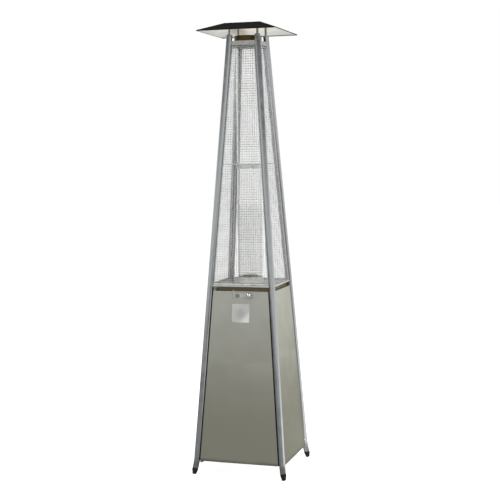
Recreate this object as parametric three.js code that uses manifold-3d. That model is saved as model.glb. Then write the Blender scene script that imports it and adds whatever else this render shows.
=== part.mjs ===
// Pyramid flame-tube patio heater. Millimetres, +Z up, front towards -Y.
// Origin: middle of the footprint, on the floor.
import * as THREE from 'three'
import { mergeVertices } from 'three/addons/utils/BufferGeometryUtils.js'
import Module from 'manifold-3d'

const wasm = await Module()
wasm.setup()

// Fits shared by all the pieces
const FIT = 0.3
const OVERRUN = 12
const SHEET = 1.2

// Heights that the rest is worked out from
const TOTAL_HEIGHT = 2270
const PANEL_BOTTOM = 67
const PANEL_TOP = 932
const DECK_RISE = 30

// The four leaning posts: their spread at the floor, and the room they leave the glass at their tops
const POST_SPREAD_FLOOR = 459
const GLASS_TO_POSTS = 10.5
const POST_RADIUS = 15
const POST_WALL = 1.5
const POST_SIDES = 16
const POST_JOINT_DROP = 11
const SPIGOT_LENGTH = 40
const SPIGOT_WALL = 1.5

// The legs flare outwards just above the floor and end in rubber feet
const FLARE_HEIGHT = 40
const FLARE_ABOVE_FOOT = 16
const FLARE_SLOPE_SHARE = 0.1
const FLARE_RINGS = 3
const FOOT_HEIGHT = 34
const FOOT_TAPER = 2.5
const FOOT_WAIST = 9
const FOOT_WIDENING = 9
const FOOT_PLUG = 18

// Housing: sloping panels between the posts, and their place across a face
const FACE_OUT = 6
const PANEL_GAP = 4.5
const PANEL_FOLD_IN = 8

// Cylinder shelf: a tray with a rim on three sides and vent holes
const SHELF_SHEET = 1.5
const SHELF_RIM = 30
const SHELF_VENT_RADIUS = 24
const SHELF_VENT_INSET = 90
const SHELF_VENT_SIDES = 16

// Deck over the housing, with a turned-down lip and a skirt that stands back from the panels
const DECK_LIP = 8
const DECK_SKIRT = 60
const DECK_SLOT_LIFT = 3
const DECK_SLOT_MARGIN = 20

// Door: pivot line, pins and brackets
const DOOR_LIFT = 2
const DOOR_FOLD_IN = 4
const DOOR_PIVOT_INSET = 6
const DOOR_PIVOT_BACK = 5
const PIN_RADIUS = 2.5
const PIN_HEAD_LIP = 2
const PIN_HEAD = 2
const PIN_REACH = 12
const PIN_SIDES = 10
const BRACKET_SHEET = 3
const BRACKET_HALF = 8
const BRACKET_LIP = 2
const BRACKET_BACK = 40
const BRACKET_EAR_GAP = 3.8

// Door magnet, striker and bare label plate
const STRIKER_EDGE = 5
const STRIKER_WIDTH = 40
const STRIKER_HEIGHT = 22
const MAGNET_WIDTH = 32
const MAGNET_HEIGHT = 16
const LABEL_WIDTH = 90
const LABEL_HEIGHT = 92
const LABEL_PLACE = 1.5
const LABEL_DROP = 110
const LABEL_SHEET = 0.6

// Control fascia, which shows through a window in the door, and the box behind it
const CONTROL_DROP = 21
const KNOB_PLACE = 46
const KNOB_TO_IGNITER = 62
const FASCIA_END_LEFT = 24
const FASCIA_END_RIGHT = 18
const FASCIA_HALF = 14
const WINDOW_GAP = 1.5
const BOX_MARGIN = 8
const BOX_BACK = 4
const HANGER_SETBACK = 16
const HANGER_MARGIN = 6

// Gas valve, its plug and stem, and the knob
const KNOB_RADIUS = 14
const KNOB_LENGTH = 15
const KNOB_TRAVEL = 4
const KNOB_STANDOFF = 1
const KNOB_EDGE = 1.5
const KNOB_SIDES = 20
const KNOB_SOCKET = 9
const STEM_SIDE = 6
const STEM_TAIL = 25
const STEM_CLEARANCE = 1.25
const VALVE_PLUG_RADIUS = 9
const VALVE_PLUG_FLOOR = 3.8
const VALVE_NECK_WALL = 2.7
const VALVE_HALF_WIDTH = 21
const VALVE_HALF_HEIGHT = 14
const VALVE_HEADROOM = 2
const VALVE_FRONT = 12
const VALVE_REAR = 26

// Igniter: push button in a barrel
const BUTTON_RADIUS = 7
const BUTTON_STANDOUT = 2
const BUTTON_TAIL = 8
const BUTTON_TRAVEL = 4
const BARREL_WALL = 1.7
const BARREL_END = 40
const BARREL_FLOOR = 12
const BARREL_VENT = 3
const BEZEL_LIP = 2
const BEZEL_SHEET = 1.6
const ROUND_SIDES = 16

// Tilt switch on the hanger
const TILT_WIDTH = 22
const TILT_DEPTH = 14
const TILT_HEIGHT = 24

// Gas inlet fitting under the valve
const HEX_SIDES = 6
const INLET_HEX = 9
const INLET_HEX_HEIGHT = 12
const INLET_NIPPLE = 5
const INLET_BARB_LIP = 1.2
const INLET_LENGTH = 40
const INLET_BORE = 2.5
const BARB_COUNT = 3

// Burner column on the heater's axis
const VENTURI_RADIUS = 11
const VENTURI_WALL = 1.5
const VENTURI_DROP = 69
const VENTURI_RISE = 10
const VENTURI_FLANGE = 9
const AIR_PORT_HALF = 3.5
const AIR_PORT_HEIGHT = 12
const INJECTOR_HEX = 12
const INJECTOR_HEIGHT = 18
const INJECTOR_TIP = 4
const INJECTOR_TIP_HEIGHT = 8
const BURNER_GAP = 2.3
const BURNER_CONE = 9
const BURNER_HEIGHT = 20
const BURNER_DOME = 4
const BURNER_WALL = 2.5
const BURNER_NECK_LIP = 3

// Pilot, thermocouple and spark electrode stand on a ring round the burner
const IGNITION_GAP = 1.2
const PILOT_TURN_SHARE = 0.706
const THERMOCOUPLE_TURN_SHARE = 0.79
const ELECTRODE_TURN_SHARE = 0.62
const PILOT_RADIUS = 5.5
const PILOT_LIFT = 16
const PILOT_HEIGHT = 22
const PILOT_WALL = 2
const PILOT_MOUTH_DEPTH = 9
const THERMOCOUPLE_TIP = 3
const THERMOCOUPLE_LIFT = 13
const THERMOCOUPLE_LENGTH = 31
const ELECTRODE_RADIUS = 3.4
const ELECTRODE_FLANGE = 3.6
const ELECTRODE_DROP = 12
const ELECTRODE_RISE = 26
const ELECTRODE_WIRE = 1.2
const ELECTRODE_WIRE_LENGTH = 14

// Tubes and leads under the deck, and where they bend on their way
const MAIN_TUBE_RADIUS = 4
const PILOT_TUBE_RADIUS = 2.2
const LEAD_RADIUS = 1.8
const TUBE_HOLE_MARGIN = 2.8
const TUBE_SIDES = 8
const TUBE_STEPS = 11
const TUBE_DROP = 30
const LEAD_OUT_SHARE = 0.25
const KNEE_SHARE = 2 / 3

// Glass tube in two lengths, its seat, mid ring and the collar over it
const GLASS_RADIUS = 62.5
const GLASS_WALL = 3
const GLASS_FIT = 0.5
const GLASS_SIDES = 32
const GLASS_LIFT = 10
const GLASS_HEADROOM = 4
const LOWER_GLASS = 583
const MID_RING_HEIGHT = 22
const MID_RING_WEB = 4
const MID_RING_LIP = 2.5
const SEAT_HEIGHT = 28
const SEAT_WALL = 3
const SEAT_LEDGE = 7.5
const SEAT_FLANGE = 6
const SEAT_FLANGE_SHEET = 3
const COLLAR_STANDOUT = 6.5
const COLLAR_LEDGE = 4.5
const COLLAR_HEIGHT = 28

// Wire guards between the posts
const GUARD_FRAME = 6
const GUARD_WIRE = 4
const GUARD_ROWS = 20
const GUARD_HEADROOM = 2

// Top plate, reflector and the stand-offs between them
const POST_STANDOUT = 29
const TOP_PLATE_FLANGE = 22
const REFLECTOR_RIM_HALF = 204
const REFLECTOR_HEIGHT = 46
const REFLECTOR_HEM = 5
const REFLECTOR_GAP = 14
const CROWN_MARGIN = 20
const STANDOFF_RADIUS = 6
const STANDOFF_PLUG = 16
const STANDOFF_CAP = 2
const STANDOFF_SIDES = 12

// Heights, from the floor up
const FLARE_TO = FOOT_HEIGHT + FLARE_ABOVE_FOOT
const FLARE_FROM = FLARE_TO + FLARE_HEIGHT
const SHELF_BOTTOM = PANEL_BOTTOM
const CONTROL_MIDDLE = PANEL_TOP - CONTROL_DROP
const LABEL_MIDDLE = PANEL_TOP - LABEL_DROP
const DECK_SLOT_TOP = PANEL_TOP + DECK_SLOT_LIFT
const DECK_TOP = PANEL_TOP + DECK_RISE
const DECK_SKIRT_BOTTOM = DECK_TOP - DECK_SKIRT
const POST_JOINT = DECK_TOP - POST_JOINT_DROP
const VENTURI_BOTTOM = DECK_TOP - VENTURI_DROP
const VENTURI_TOP = DECK_TOP + VENTURI_RISE
const BURNER_FLOOR = VENTURI_TOP + BURNER_CONE
const BURNER_SHOULDER = BURNER_FLOOR + BURNER_HEIGHT
const PILOT_FOOT = DECK_TOP + PILOT_LIFT
const THERMOCOUPLE_FOOT = DECK_TOP + THERMOCOUPLE_LIFT
const ELECTRODE_FOOT = DECK_TOP - ELECTRODE_DROP
const ELECTRODE_SHOULDER = DECK_TOP + ELECTRODE_RISE
const GLASS_BOTTOM = DECK_TOP + GLASS_LIFT
const MID_RING = GLASS_BOTTOM + LOWER_GLASS
const REFLECTOR_RIM = TOTAL_HEIGHT - REFLECTOR_HEIGHT
const POST_TOP = REFLECTOR_RIM - REFLECTOR_GAP
const TOP_PLATE_TOP = POST_TOP - POST_STANDOUT
const TOP_PLATE_BOTTOM = TOP_PLATE_TOP - TOP_PLATE_FLANGE
const GUARD_TOP = TOP_PLATE_BOTTOM - GUARD_HEADROOM
const GLASS_TOP = TOP_PLATE_TOP - GLASS_HEADROOM

// Lean of the posts, which is the slope of every face
const POST_SPREAD_TOP = 2 * (GLASS_RADIUS + GLASS_TO_POSTS)
const LEAN = (POST_SPREAD_FLOOR - POST_SPREAD_TOP) / 2 / POST_TOP
const TILT = Math.atan(LEAN)

// Widths and depths
const POST_BORE = POST_RADIUS - POST_WALL
const SPIGOT_RADIUS = POST_BORE - FIT
const FOOT_RADIUS = POST_RADIUS - FOOT_TAPER
const INNER_FACE = PANEL_FOLD_IN + FIT
const DOOR_PIVOT_IN = POST_RADIUS + PANEL_GAP + DOOR_PIVOT_INSET
const DOOR_PIVOT_DEPTH = -FACE_OUT + DOOR_PIVOT_BACK
const PIN_HEAD_RADIUS = PIN_RADIUS + PIN_HEAD_LIP
const IGNITER_PLACE = KNOB_PLACE - KNOB_TO_IGNITER
const FASCIA_LEFT = IGNITER_PLACE - FASCIA_END_LEFT
const FASCIA_RIGHT = KNOB_PLACE + FASCIA_END_RIGHT
const DECK_SLOT_RIGHT = FASCIA_RIGHT + BOX_MARGIN + DECK_SLOT_MARGIN
const FASCIA_FRONT = -FACE_OUT + FIT
const FASCIA_BACK = FASCIA_FRONT + SHEET
const BOX_FRONT = FASCIA_BACK + FIT
const BOX_INSIDE = BOX_FRONT + SHEET
const KNOB_BACK = FASCIA_FRONT - KNOB_TRAVEL - KNOB_STANDOFF
const KNOB_FRONT = KNOB_BACK - KNOB_LENGTH
const STEM_HOLE_RADIUS = STEM_SIDE / Math.SQRT2 + STEM_CLEARANCE
const VALVE_PLUG_END = STEM_TAIL + KNOB_TRAVEL + SHEET + VALVE_PLUG_FLOOR
const VALVE_BACK = VALVE_PLUG_END + VALVE_REAR
const VALVE_NECK_RADIUS = VALVE_PLUG_RADIUS + FIT + VALVE_NECK_WALL
const BOX_DEPTH = VALVE_BACK + BOX_BACK
const HANGER_PLACE = VALVE_BACK - HANGER_SETBACK
const INLET_PLACE = (VALVE_FRONT + VALVE_BACK) / 2
const INLET_BARB = INLET_NIPPLE + INLET_BARB_LIP
const BARREL_RADIUS = BUTTON_RADIUS + FIT + BARREL_WALL
const BEZEL_RADIUS = BARREL_RADIUS + BEZEL_LIP
const BUTTON_FACE = FASCIA_FRONT - BEZEL_SHEET - BUTTON_TRAVEL - BUTTON_STANDOUT
const SEAT_BORE = GLASS_RADIUS - GLASS_WALL - SEAT_LEDGE
const IGNITION_RING = SEAT_BORE - IGNITION_GAP - ELECTRODE_RADIUS - ELECTRODE_FLANGE
const BURNER_RADIUS = IGNITION_RING - PILOT_RADIUS - BURNER_GAP
const VENTURI_BORE = VENTURI_RADIUS - VENTURI_WALL
const COLLAR_RADIUS = GLASS_RADIUS + COLLAR_STANDOUT
const COLLAR_BORE = GLASS_RADIUS - COLLAR_LEDGE
const REFLECTOR_CROWN_HALF = POST_SPREAD_TOP / 2 + CROWN_MARGIN

// Finishes
const finishes = {
  polishedSteel: { color: 0xc9ccd0, roughness: 0.12, metalness: 1 },
  brushedSteel: { color: 0x9d9e93, roughness: 0.38, metalness: 0.9 },
  panelSteel: { color: 0x8c8d82, roughness: 0.42, metalness: 0.85 },
  darkSteel: { color: 0x3b3128, roughness: 0.5, metalness: 0.8 },
  blackEnamel: { color: 0x101010, roughness: 0.35, metalness: 0.1 },
  guardWire: { color: 0xc4c6c4, roughness: 0.25, metalness: 1 },
  glass: { color: 0xe6ebea, roughness: 0.05, metalness: 0, transparent: true, opacity: 0.35 },
  rubber: { color: 0x161616, roughness: 0.85, metalness: 0 },
  brass: { color: 0xb59a5a, roughness: 0.35, metalness: 1 },
  copper: { color: 0xb06a48, roughness: 0.35, metalness: 1 },
  castAlloy: { color: 0x9a9c9e, roughness: 0.55, metalness: 0.8 },
  blackPlastic: { color: 0x1c1c1c, roughness: 0.5, metalness: 0 },
  ceramic: { color: 0xe9e4d8, roughness: 0.4, metalness: 0 },
  labelFilm: { color: 0xb4b6b2, roughness: 0.4, metalness: 0.2 },
}

// A path whose cross-sections fall on its own points
class StationPath extends THREE.Curve {
  constructor(points) {
    super()
    this.points = points
  }

  getPoint(t, target = new THREE.Vector3()) {
    const last = this.points.length - 1
    const at = Math.min(Math.floor(t * last), last - 1)
    return target.lerpVectors(this.points[at], this.points[at + 1], t * last - at)
  }

  getPointAt(u, target) {
    return this.getPoint(u, target)
  }

  getTangentAt(u, target = new THREE.Vector3()) {
    const last = this.points.length - 1
    const at = Math.round(u * last)
    const before = this.points[Math.max(at - 1, 0)]
    const after = this.points[Math.min(at + 1, last)]
    return target.subVectors(after, before).normalize()
  }
}

// The geometry as a closed solid with its faces pointing out
function solid(geometry) {
  geometry.deleteAttribute('normal')
  geometry.deleteAttribute('uv')
  const welded = mergeVertices(geometry)
  const places = welded.attributes.position.array
  const kept = []
  for (let i = 0; i < welded.index.count; i += 3) {
    const [a, b, c] = [0, 1, 2].map((corner) => welded.index.getX(i + corner))
    if (a !== b && b !== c && c !== a) kept.push(a, b, c)
  }
  if (signedVolume(places, kept) < 0) kept.reverse()
  const mesh = { numProp: 3, vertProperties: places, triVerts: Uint32Array.from(kept) }
  return new wasm.Manifold(new wasm.Mesh(mesh))
}

function signedVolume(places, corners) {
  const [a, b, c] = [new THREE.Vector3(), new THREE.Vector3(), new THREE.Vector3()]
  let total = 0
  for (let i = 0; i < corners.length; i += 3) {
    a.fromArray(places, 3 * corners[i])
    b.fromArray(places, 3 * corners[i + 1])
    c.fromArray(places, 3 * corners[i + 2])
    total += a.dot(b.cross(c))
  }
  return total
}

function surface(body) {
  const mesh = body.getMesh()
  const geometry = new THREE.BufferGeometry()
  geometry.setAttribute('position', new THREE.BufferAttribute(new Float32Array(mesh.vertProperties), 3))
  geometry.setIndex(new THREE.BufferAttribute(new Uint32Array(mesh.triVerts), 1))
  geometry.computeVertexNormals()
  return geometry
}

// Basic solids
function block(x0, x1, y0, y1, z0, z1) {
  const geometry = new THREE.BoxGeometry(x1 - x0, y1 - y0, z1 - z0)
  geometry.translate((x0 + x1) / 2, (y0 + y1) / 2, (z0 + z1) / 2)
  return solid(geometry)
}

function turned(profile, sides, place = [0, 0, 0]) {
  const points = profile.map(([radius, height]) => new THREE.Vector2(radius, height))
  const geometry = new THREE.LatheGeometry(points, sides)
  geometry.rotateX(Math.PI / 2)
  geometry.translate(...place)
  return solid(geometry)
}

// A turned solid whose axis runs into the face, along +Y; the profile is radius and depth
function turnedInward(profile, sides, x, z) {
  const points = profile.map(([radius, depth]) => new THREE.Vector2(radius, depth))
  const geometry = new THREE.LatheGeometry(points, sides)
  geometry.translate(x, 0, z)
  return solid(geometry)
}

function closed(profile) {
  return [...profile, profile[0]]
}

function rod(radius, z0, z1, sides, x = 0, y = 0) {
  return turned([[0, z0], [radius, z0], [radius, z1], [0, z1]], sides, [x, y, 0])
}

// A square pyramid cut level: a cylinder of four sides, turned so that its flats face X and Y
function frustum(half0, half1, z0, z1) {
  const geometry = new THREE.CylinderGeometry(half1 * Math.SQRT2, half0 * Math.SQRT2, z1 - z0, 4)
  geometry.rotateY(Math.PI / 4)
  geometry.rotateX(Math.PI / 2)
  geometry.translate(0, 0, (z0 + z1) / 2)
  return solid(geometry)
}

// An outline drawn in X and Z, given thickness from y0 to y1
function plate(outline, y0, y1) {
  const shape = new THREE.Shape(outline.map(([x, z]) => new THREE.Vector2(x, z)))
  const geometry = new THREE.ExtrudeGeometry(shape, { depth: y1 - y0, bevelEnabled: false })
  geometry.rotateX(Math.PI / 2)
  geometry.translate(0, y1, 0)
  return solid(geometry)
}

function circle(radius, sides) {
  const points = []
  for (let i = 0; i < sides; i += 1) {
    const angle = (2 * Math.PI * i) / sides
    points.push(new THREE.Vector2(radius * Math.cos(angle), radius * Math.sin(angle)))
  }
  return new THREE.Shape(points)
}

function barAlong(points, radius, sides) {
  const extrudePath = new StationPath(points)
  const steps = points.length - 1
  return solid(new THREE.ExtrudeGeometry(circle(radius, sides), { steps, extrudePath, bevelEnabled: false }))
}

function bentTube(points, radius) {
  const extrudePath = new THREE.CatmullRomCurve3(points, false, 'centripetal')
  const section = circle(radius, TUBE_SIDES)
  return solid(new THREE.ExtrudeGeometry(section, { steps: TUBE_STEPS, extrudePath, bevelEnabled: false }))
}

// A path made longer at both ends, for the bore that goes right through
function overrunPath(points) {
  const first = points[0].clone().sub(points[1]).setLength(OVERRUN).add(points[0])
  const last = points.at(-1).clone().sub(points.at(-2)).setLength(OVERRUN).add(points.at(-1))
  return [first, ...points, last]
}

function hollowBar(points, radius, bore, sides) {
  return barAlong(points, radius, sides).subtract(barAlong(overrunPath(points), bore, sides))
}

// Places on the pyramid
function spread(z) {
  return POST_SPREAD_FLOOR / 2 - LEAN * z
}

function flare(z) {
  if (z >= FLARE_FROM) return 0
  const bend = FLARE_FROM - FLARE_TO
  if (z >= FLARE_TO) return (FLARE_SLOPE_SHARE * (FLARE_FROM - z) ** 2) / (2 * bend)
  return FLARE_SLOPE_SHARE * (bend / 2 + FLARE_TO - z)
}

function postPoint(corner, z) {
  const out = spread(z) + flare(z)
  return new THREE.Vector3(corner.x * out, corner.y * out, z)
}

// Half the distance between the post axes, at a length up the slope of a face
function faceSpread(row) {
  return POST_SPREAD_FLOOR / 2 - row * Math.sin(TILT)
}

function rowAt(z) {
  return z / Math.cos(TILT)
}

// A point of the front face's own frame, in the heater's frame
function fromFront(x, depth, row) {
  const y = -POST_SPREAD_FLOOR / 2 + depth * Math.cos(TILT) + row * Math.sin(TILT)
  return new THREE.Vector3(x, y, row * Math.cos(TILT) - depth * Math.sin(TILT))
}

const corners = [
  { name: 'front_left', x: -1, y: -1 },
  { name: 'front_right', x: 1, y: -1 },
  { name: 'rear_left', x: -1, y: 1 },
  { name: 'rear_right', x: 1, y: 1 },
]
const faces = [
  { name: 'front', quarter: 0 },
  { name: 'right', quarter: 1 },
  { name: 'rear', quarter: 2 },
  { name: 'left', quarter: 3 },
]

const heater = new THREE.Group()

// A group whose own Y runs into the face and whose own Z climbs its slope
function faceGroup(face) {
  const turn = new THREE.Group()
  turn.rotation.z = (face.quarter * Math.PI) / 2
  const slope = new THREE.Group()
  slope.position.y = -POST_SPREAD_FLOOR / 2
  slope.rotation.x = -TILT
  turn.add(slope)
  heater.add(turn)
  return slope
}

const faceGroups = faces.map(faceGroup)
const front = faceGroups[0]

function add(name, body, finish, parent = heater) {
  const mesh = new THREE.Mesh(surface(body), new THREE.MeshStandardMaterial(finishes[finish]))
  mesh.name = name
  parent.add(mesh)
}

// All four posts as plain bars with a clearance round them, to cut sheets that meet them
function postBars(pathOf) {
  const bars = corners.map((corner) => barAlong(pathOf(corner), POST_RADIUS + FIT, POST_SIDES))
  return bars.reduce((all, bar) => all.add(bar))
}

function straightPost(z0, z1) {
  return (corner) => overrunPath([postPoint(corner, z0), postPoint(corner, z1)])
}

// Posts and feet
function footFrame(corner) {
  const floor = postPoint(corner, 0)
  const up = postPoint(corner, FLARE_TO).sub(floor).normalize()
  return { floor, up }
}

function lowerPostPath(corner) {
  const { floor, up } = footFrame(corner)
  const path = [floor.addScaledVector(up, FOOT_HEIGHT)]
  for (let i = 0; i <= FLARE_RINGS; i += 1) {
    path.push(postPoint(corner, FLARE_TO + ((FLARE_FROM - FLARE_TO) * i) / FLARE_RINGS))
  }
  path.push(postPoint(corner, POST_JOINT))
  return path
}

function upperPost(corner) {
  const foot = postPoint(corner, POST_JOINT + FIT)
  const tube = barAlong([foot, postPoint(corner, POST_TOP)], POST_RADIUS, POST_SIDES)
  const [low, high] = [POST_JOINT - SPIGOT_LENGTH, POST_JOINT + SPIGOT_LENGTH]
  const hollow = [postPoint(corner, high), postPoint(corner, POST_TOP + OVERRUN)]
  const bore = barAlong(hollow, POST_BORE, POST_SIDES)
  const spigot = [postPoint(corner, low), postPoint(corner, high)]
  const passage = barAlong(overrunPath(spigot), SPIGOT_RADIUS - SPIGOT_WALL, POST_SIDES)
  return tube.add(barAlong(spigot, SPIGOT_RADIUS, POST_SIDES)).subtract(bore).subtract(passage)
}

function foot(corner) {
  const { floor, up } = footFrame(corner)
  const shoulder = FOOT_HEIGHT - FIT
  const profile = [
    [0, -OVERRUN], [FOOT_RADIUS, -OVERRUN], [FOOT_RADIUS, FOOT_WAIST],
    [POST_RADIUS, FOOT_WAIST + FOOT_WIDENING], [POST_RADIUS, shoulder], [POST_BORE - FIT, shoulder],
    [POST_BORE - FIT, shoulder + FOOT_PLUG], [0, shoulder + FOOT_PLUG],
  ]
  const points = profile.map(([radius, height]) => new THREE.Vector2(radius, height))
  const geometry = new THREE.LatheGeometry(points, POST_SIDES)
  geometry.applyQuaternion(new THREE.Quaternion().setFromUnitVectors(new THREE.Vector3(0, 1, 0), up))
  geometry.translate(floor.x, floor.y, floor.z)
  const far = POST_SPREAD_FLOOR
  return solid(geometry).subtract(block(-far, far, -far, far, -far, 0))
}

for (const corner of corners) {
  add(`lower_post_${corner.name}`, hollowBar(lowerPostPath(corner), POST_RADIUS, POST_BORE, POST_SIDES),
    'polishedSteel')
  add(`upper_post_${corner.name}`, upperPost(corner), 'polishedSteel')
  add(`foot_${corner.name}`, foot(corner), 'rubber')
}

// A square sheet tray that follows the pyramid: half sizes grow by the same lean
function sleeve(inset, wall, z0, z1) {
  const outer = frustum(spread(z0) - inset, spread(z1) - inset, z0, z1)
  const [low, high] = [z0 - OVERRUN, z1 + OVERRUN]
  return outer.subtract(frustum(spread(low) - inset - wall, spread(high) - inset - wall, low, high))
}

function cylinderShelf() {
  const rimTop = SHELF_BOTTOM + SHELF_RIM
  const floorTop = SHELF_BOTTOM + SHELF_SHEET
  const inset = INNER_FACE
  let tray = frustum(spread(SHELF_BOTTOM) - inset, spread(floorTop) - inset, SHELF_BOTTOM, floorTop)
  tray = tray.add(sleeve(inset, SHELF_SHEET, SHELF_BOTTOM, rimTop))
  const far = POST_SPREAD_FLOOR
  const rimEdge = spread(floorTop) - inset - SHELF_SHEET - OVERRUN
  tray = tray.subtract(block(-far, far, -far, -rimEdge, floorTop, rimTop + OVERRUN))
  const ventPlace = spread(SHELF_BOTTOM) - SHELF_VENT_INSET
  for (const corner of corners) {
    const [x, y] = [corner.x * ventPlace, corner.y * ventPlace]
    const [low, high] = [SHELF_BOTTOM - OVERRUN, floorTop + OVERRUN]
    tray = tray.subtract(rod(SHELF_VENT_RADIUS, low, high, SHELF_VENT_SIDES, x, y))
  }
  return tray.subtract(postBars(lowerPostPath))
}

// A place on the ring round the burner, at a share of a turn from +X
function ringPlace(turnShare) {
  const angle = 2 * Math.PI * turnShare
  return [IGNITION_RING * Math.cos(angle), IGNITION_RING * Math.sin(angle)]
}

const PILOT_PLACE = ringPlace(PILOT_TURN_SHARE)
const THERMOCOUPLE_PLACE = ringPlace(THERMOCOUPLE_TURN_SHARE)
const ELECTRODE_PLACE = ringPlace(ELECTRODE_TURN_SHARE)

function deckHoles() {
  const holes = [
    [0, 0, VENTURI_RADIUS + FIT],
    [...PILOT_PLACE, PILOT_TUBE_RADIUS + TUBE_HOLE_MARGIN],
    [...THERMOCOUPLE_PLACE, LEAD_RADIUS + TUBE_HOLE_MARGIN],
    [...ELECTRODE_PLACE, ELECTRODE_RADIUS + FIT],
  ]
  const [low, high] = [DECK_SKIRT_BOTTOM, DECK_TOP + OVERRUN]
  const bars = holes.map(([x, y, radius]) => rod(radius, low, high, ROUND_SIDES, x, y))
  return bars.reduce((all, bar) => all.add(bar))
}

function deckTray() {
  const under = DECK_TOP - SHEET
  let deck = frustum(spread(under) + FACE_OUT, spread(DECK_TOP) + FACE_OUT, under, DECK_TOP)
  deck = deck.add(sleeve(-FACE_OUT, SHEET, DECK_TOP - DECK_LIP, DECK_TOP - SHEET / 2))
  deck = deck.add(sleeve(INNER_FACE, SHEET, DECK_SKIRT_BOTTOM, DECK_TOP - SHEET / 2))
  const far = POST_SPREAD_FLOOR
  const inside = spread(DECK_TOP) - INNER_FACE - SHEET - OVERRUN
  const low = DECK_SKIRT_BOTTOM - OVERRUN
  deck = deck.subtract(block(-far, DECK_SLOT_RIGHT, -far, -inside, low, DECK_SLOT_TOP))
  return deck.subtract(deckHoles()).subtract(postBars(straightPost(DECK_SKIRT_BOTTOM, DECK_TOP)))
}

add('cylinder_shelf', cylinderShelf(), 'brushedSteel')
add('deck_tray', deckTray(), 'brushedSteel')

// Panels: folded pans between the posts
function panOutline(row0, row1, inset) {
  const half0 = faceSpread(row0) - POST_RADIUS - PANEL_GAP - inset
  const half1 = faceSpread(row1) - POST_RADIUS - PANEL_GAP - inset
  return [[-half0, row0 + inset], [half0, row0 + inset], [half1, row1 - inset], [-half1, row1 - inset]]
}

function pan(row0, row1, foldEnd) {
  const outside = plate(panOutline(row0, row1, 0), -FACE_OUT, foldEnd)
  return outside.subtract(plate(panOutline(row0, row1, SHEET), -FACE_OUT + SHEET, foldEnd + OVERRUN))
}

faces.slice(1).forEach((face, i) => {
  const body = pan(rowAt(PANEL_BOTTOM), rowAt(PANEL_TOP), PANEL_FOLD_IN)
  add(`${face.name}_panel`, body, 'panelSteel', faceGroups[i + 1])
})

// Door and its pivots, in the front face's frame
function pivotPoint(row) {
  return new THREE.Vector3(-faceSpread(row) + DOOR_PIVOT_IN, DOOR_PIVOT_DEPTH, row)
}

function pivotBar(radius, row0, row1) {
  return barAlong([pivotPoint(row0), pivotPoint(row1)], radius, PIN_SIDES)
}

const DOOR_ROW_BOTTOM = rowAt(PANEL_BOTTOM + DOOR_LIFT)
const DOOR_ROW_TOP = rowAt(PANEL_TOP)
const CONTROL_ROW = rowAt(CONTROL_MIDDLE)

function door() {
  const leaf = pan(DOOR_ROW_BOTTOM, DOOR_ROW_TOP, DOOR_FOLD_IN)
  const left = FASCIA_LEFT - WINDOW_GAP
  const right = FASCIA_RIGHT + WINDOW_GAP
  const half = FASCIA_HALF + WINDOW_GAP
  const window = block(left, right, -FACE_OUT - OVERRUN, 0, CONTROL_ROW - half, CONTROL_ROW + half)
  const low = pivotBar(PIN_RADIUS + FIT, DOOR_ROW_BOTTOM - OVERRUN, DOOR_ROW_BOTTOM + OVERRUN)
  const high = pivotBar(PIN_RADIUS + FIT, DOOR_ROW_TOP - OVERRUN, DOOR_ROW_TOP + OVERRUN)
  return leaf.subtract(window).subtract(low).subtract(high)
}

// Brackets lie level, so they are made in the heater's frame
function pivotInHeater(z) {
  const row = (z + DOOR_PIVOT_DEPTH * Math.sin(TILT)) / Math.cos(TILT)
  const place = pivotPoint(row)
  return fromFront(place.x, place.y, place.z)
}

function bracketPlate(z0, z1, back) {
  const pivot = pivotInHeater((z0 + z1) / 2)
  const frontEdge = pivot.y - PIN_RADIUS - FIT - BRACKET_LIP
  const slab = block(pivot.x - BRACKET_HALF, pivot.x + BRACKET_HALF, frontEdge, back, z0, z1)
  const way = [pivotInHeater(z0 - OVERRUN), pivotInHeater(z1 + OVERRUN)]
  return slab.subtract(barAlong(way, PIN_RADIUS + FIT, PIN_SIDES))
}

function lowerBracket() {
  const top = SHELF_BOTTOM - FIT
  const pivot = pivotInHeater(top)
  return bracketPlate(top - BRACKET_SHEET, top, pivot.y + BRACKET_BACK)
}

// The upper bracket is screwed to the deck's skirt by an upright ear
function upperBracket() {
  const z0 = DECK_SLOT_TOP
  const z1 = z0 + BRACKET_SHEET
  const skirt = -(spread(z0) - INNER_FACE) - FIT
  const earTop = DECK_TOP - SHEET - BRACKET_EAR_GAP
  const pivot = pivotInHeater(z0)
  const ear = block(pivot.x - BRACKET_HALF, pivot.x + BRACKET_HALF, skirt - BRACKET_SHEET, skirt, z0, earTop)
  return bracketPlate(z0, z1, skirt).add(ear)
}

// A pin with a head: it runs from its head through the bracket into the door's fold
function hingePin(headZ, tipZ) {
  const way = Math.sign(tipZ - headZ)
  const head = [pivotInHeater(headZ), pivotInHeater(headZ + way * PIN_HEAD)]
  const shank = [pivotInHeater(headZ), pivotInHeater(tipZ)]
  return barAlong(head, PIN_HEAD_RADIUS, PIN_SIDES).add(barAlong(shank, PIN_RADIUS, PIN_SIDES))
}

// The pins lean and the brackets lie level, so a head stands off by its own rise
const HEAD_GAP = FIT + PIN_HEAD_RADIUS * LEAN * Math.SQRT2
const LOWER_PIN_HEAD = SHELF_BOTTOM - FIT - BRACKET_SHEET - HEAD_GAP - PIN_HEAD
const UPPER_PIN_HEAD = DECK_SLOT_TOP + BRACKET_SHEET + HEAD_GAP + PIN_HEAD

add('door', door(), 'panelSteel', front)
add('door_bracket_lower', lowerBracket(), 'brushedSteel')
add('door_bracket_upper', upperBracket(), 'brushedSteel')
add('door_pin_lower', hingePin(LOWER_PIN_HEAD, LOWER_PIN_HEAD + PIN_REACH), 'polishedSteel')
add('door_pin_upper', hingePin(UPPER_PIN_HEAD, UPPER_PIN_HEAD - PIN_REACH), 'polishedSteel')

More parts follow.
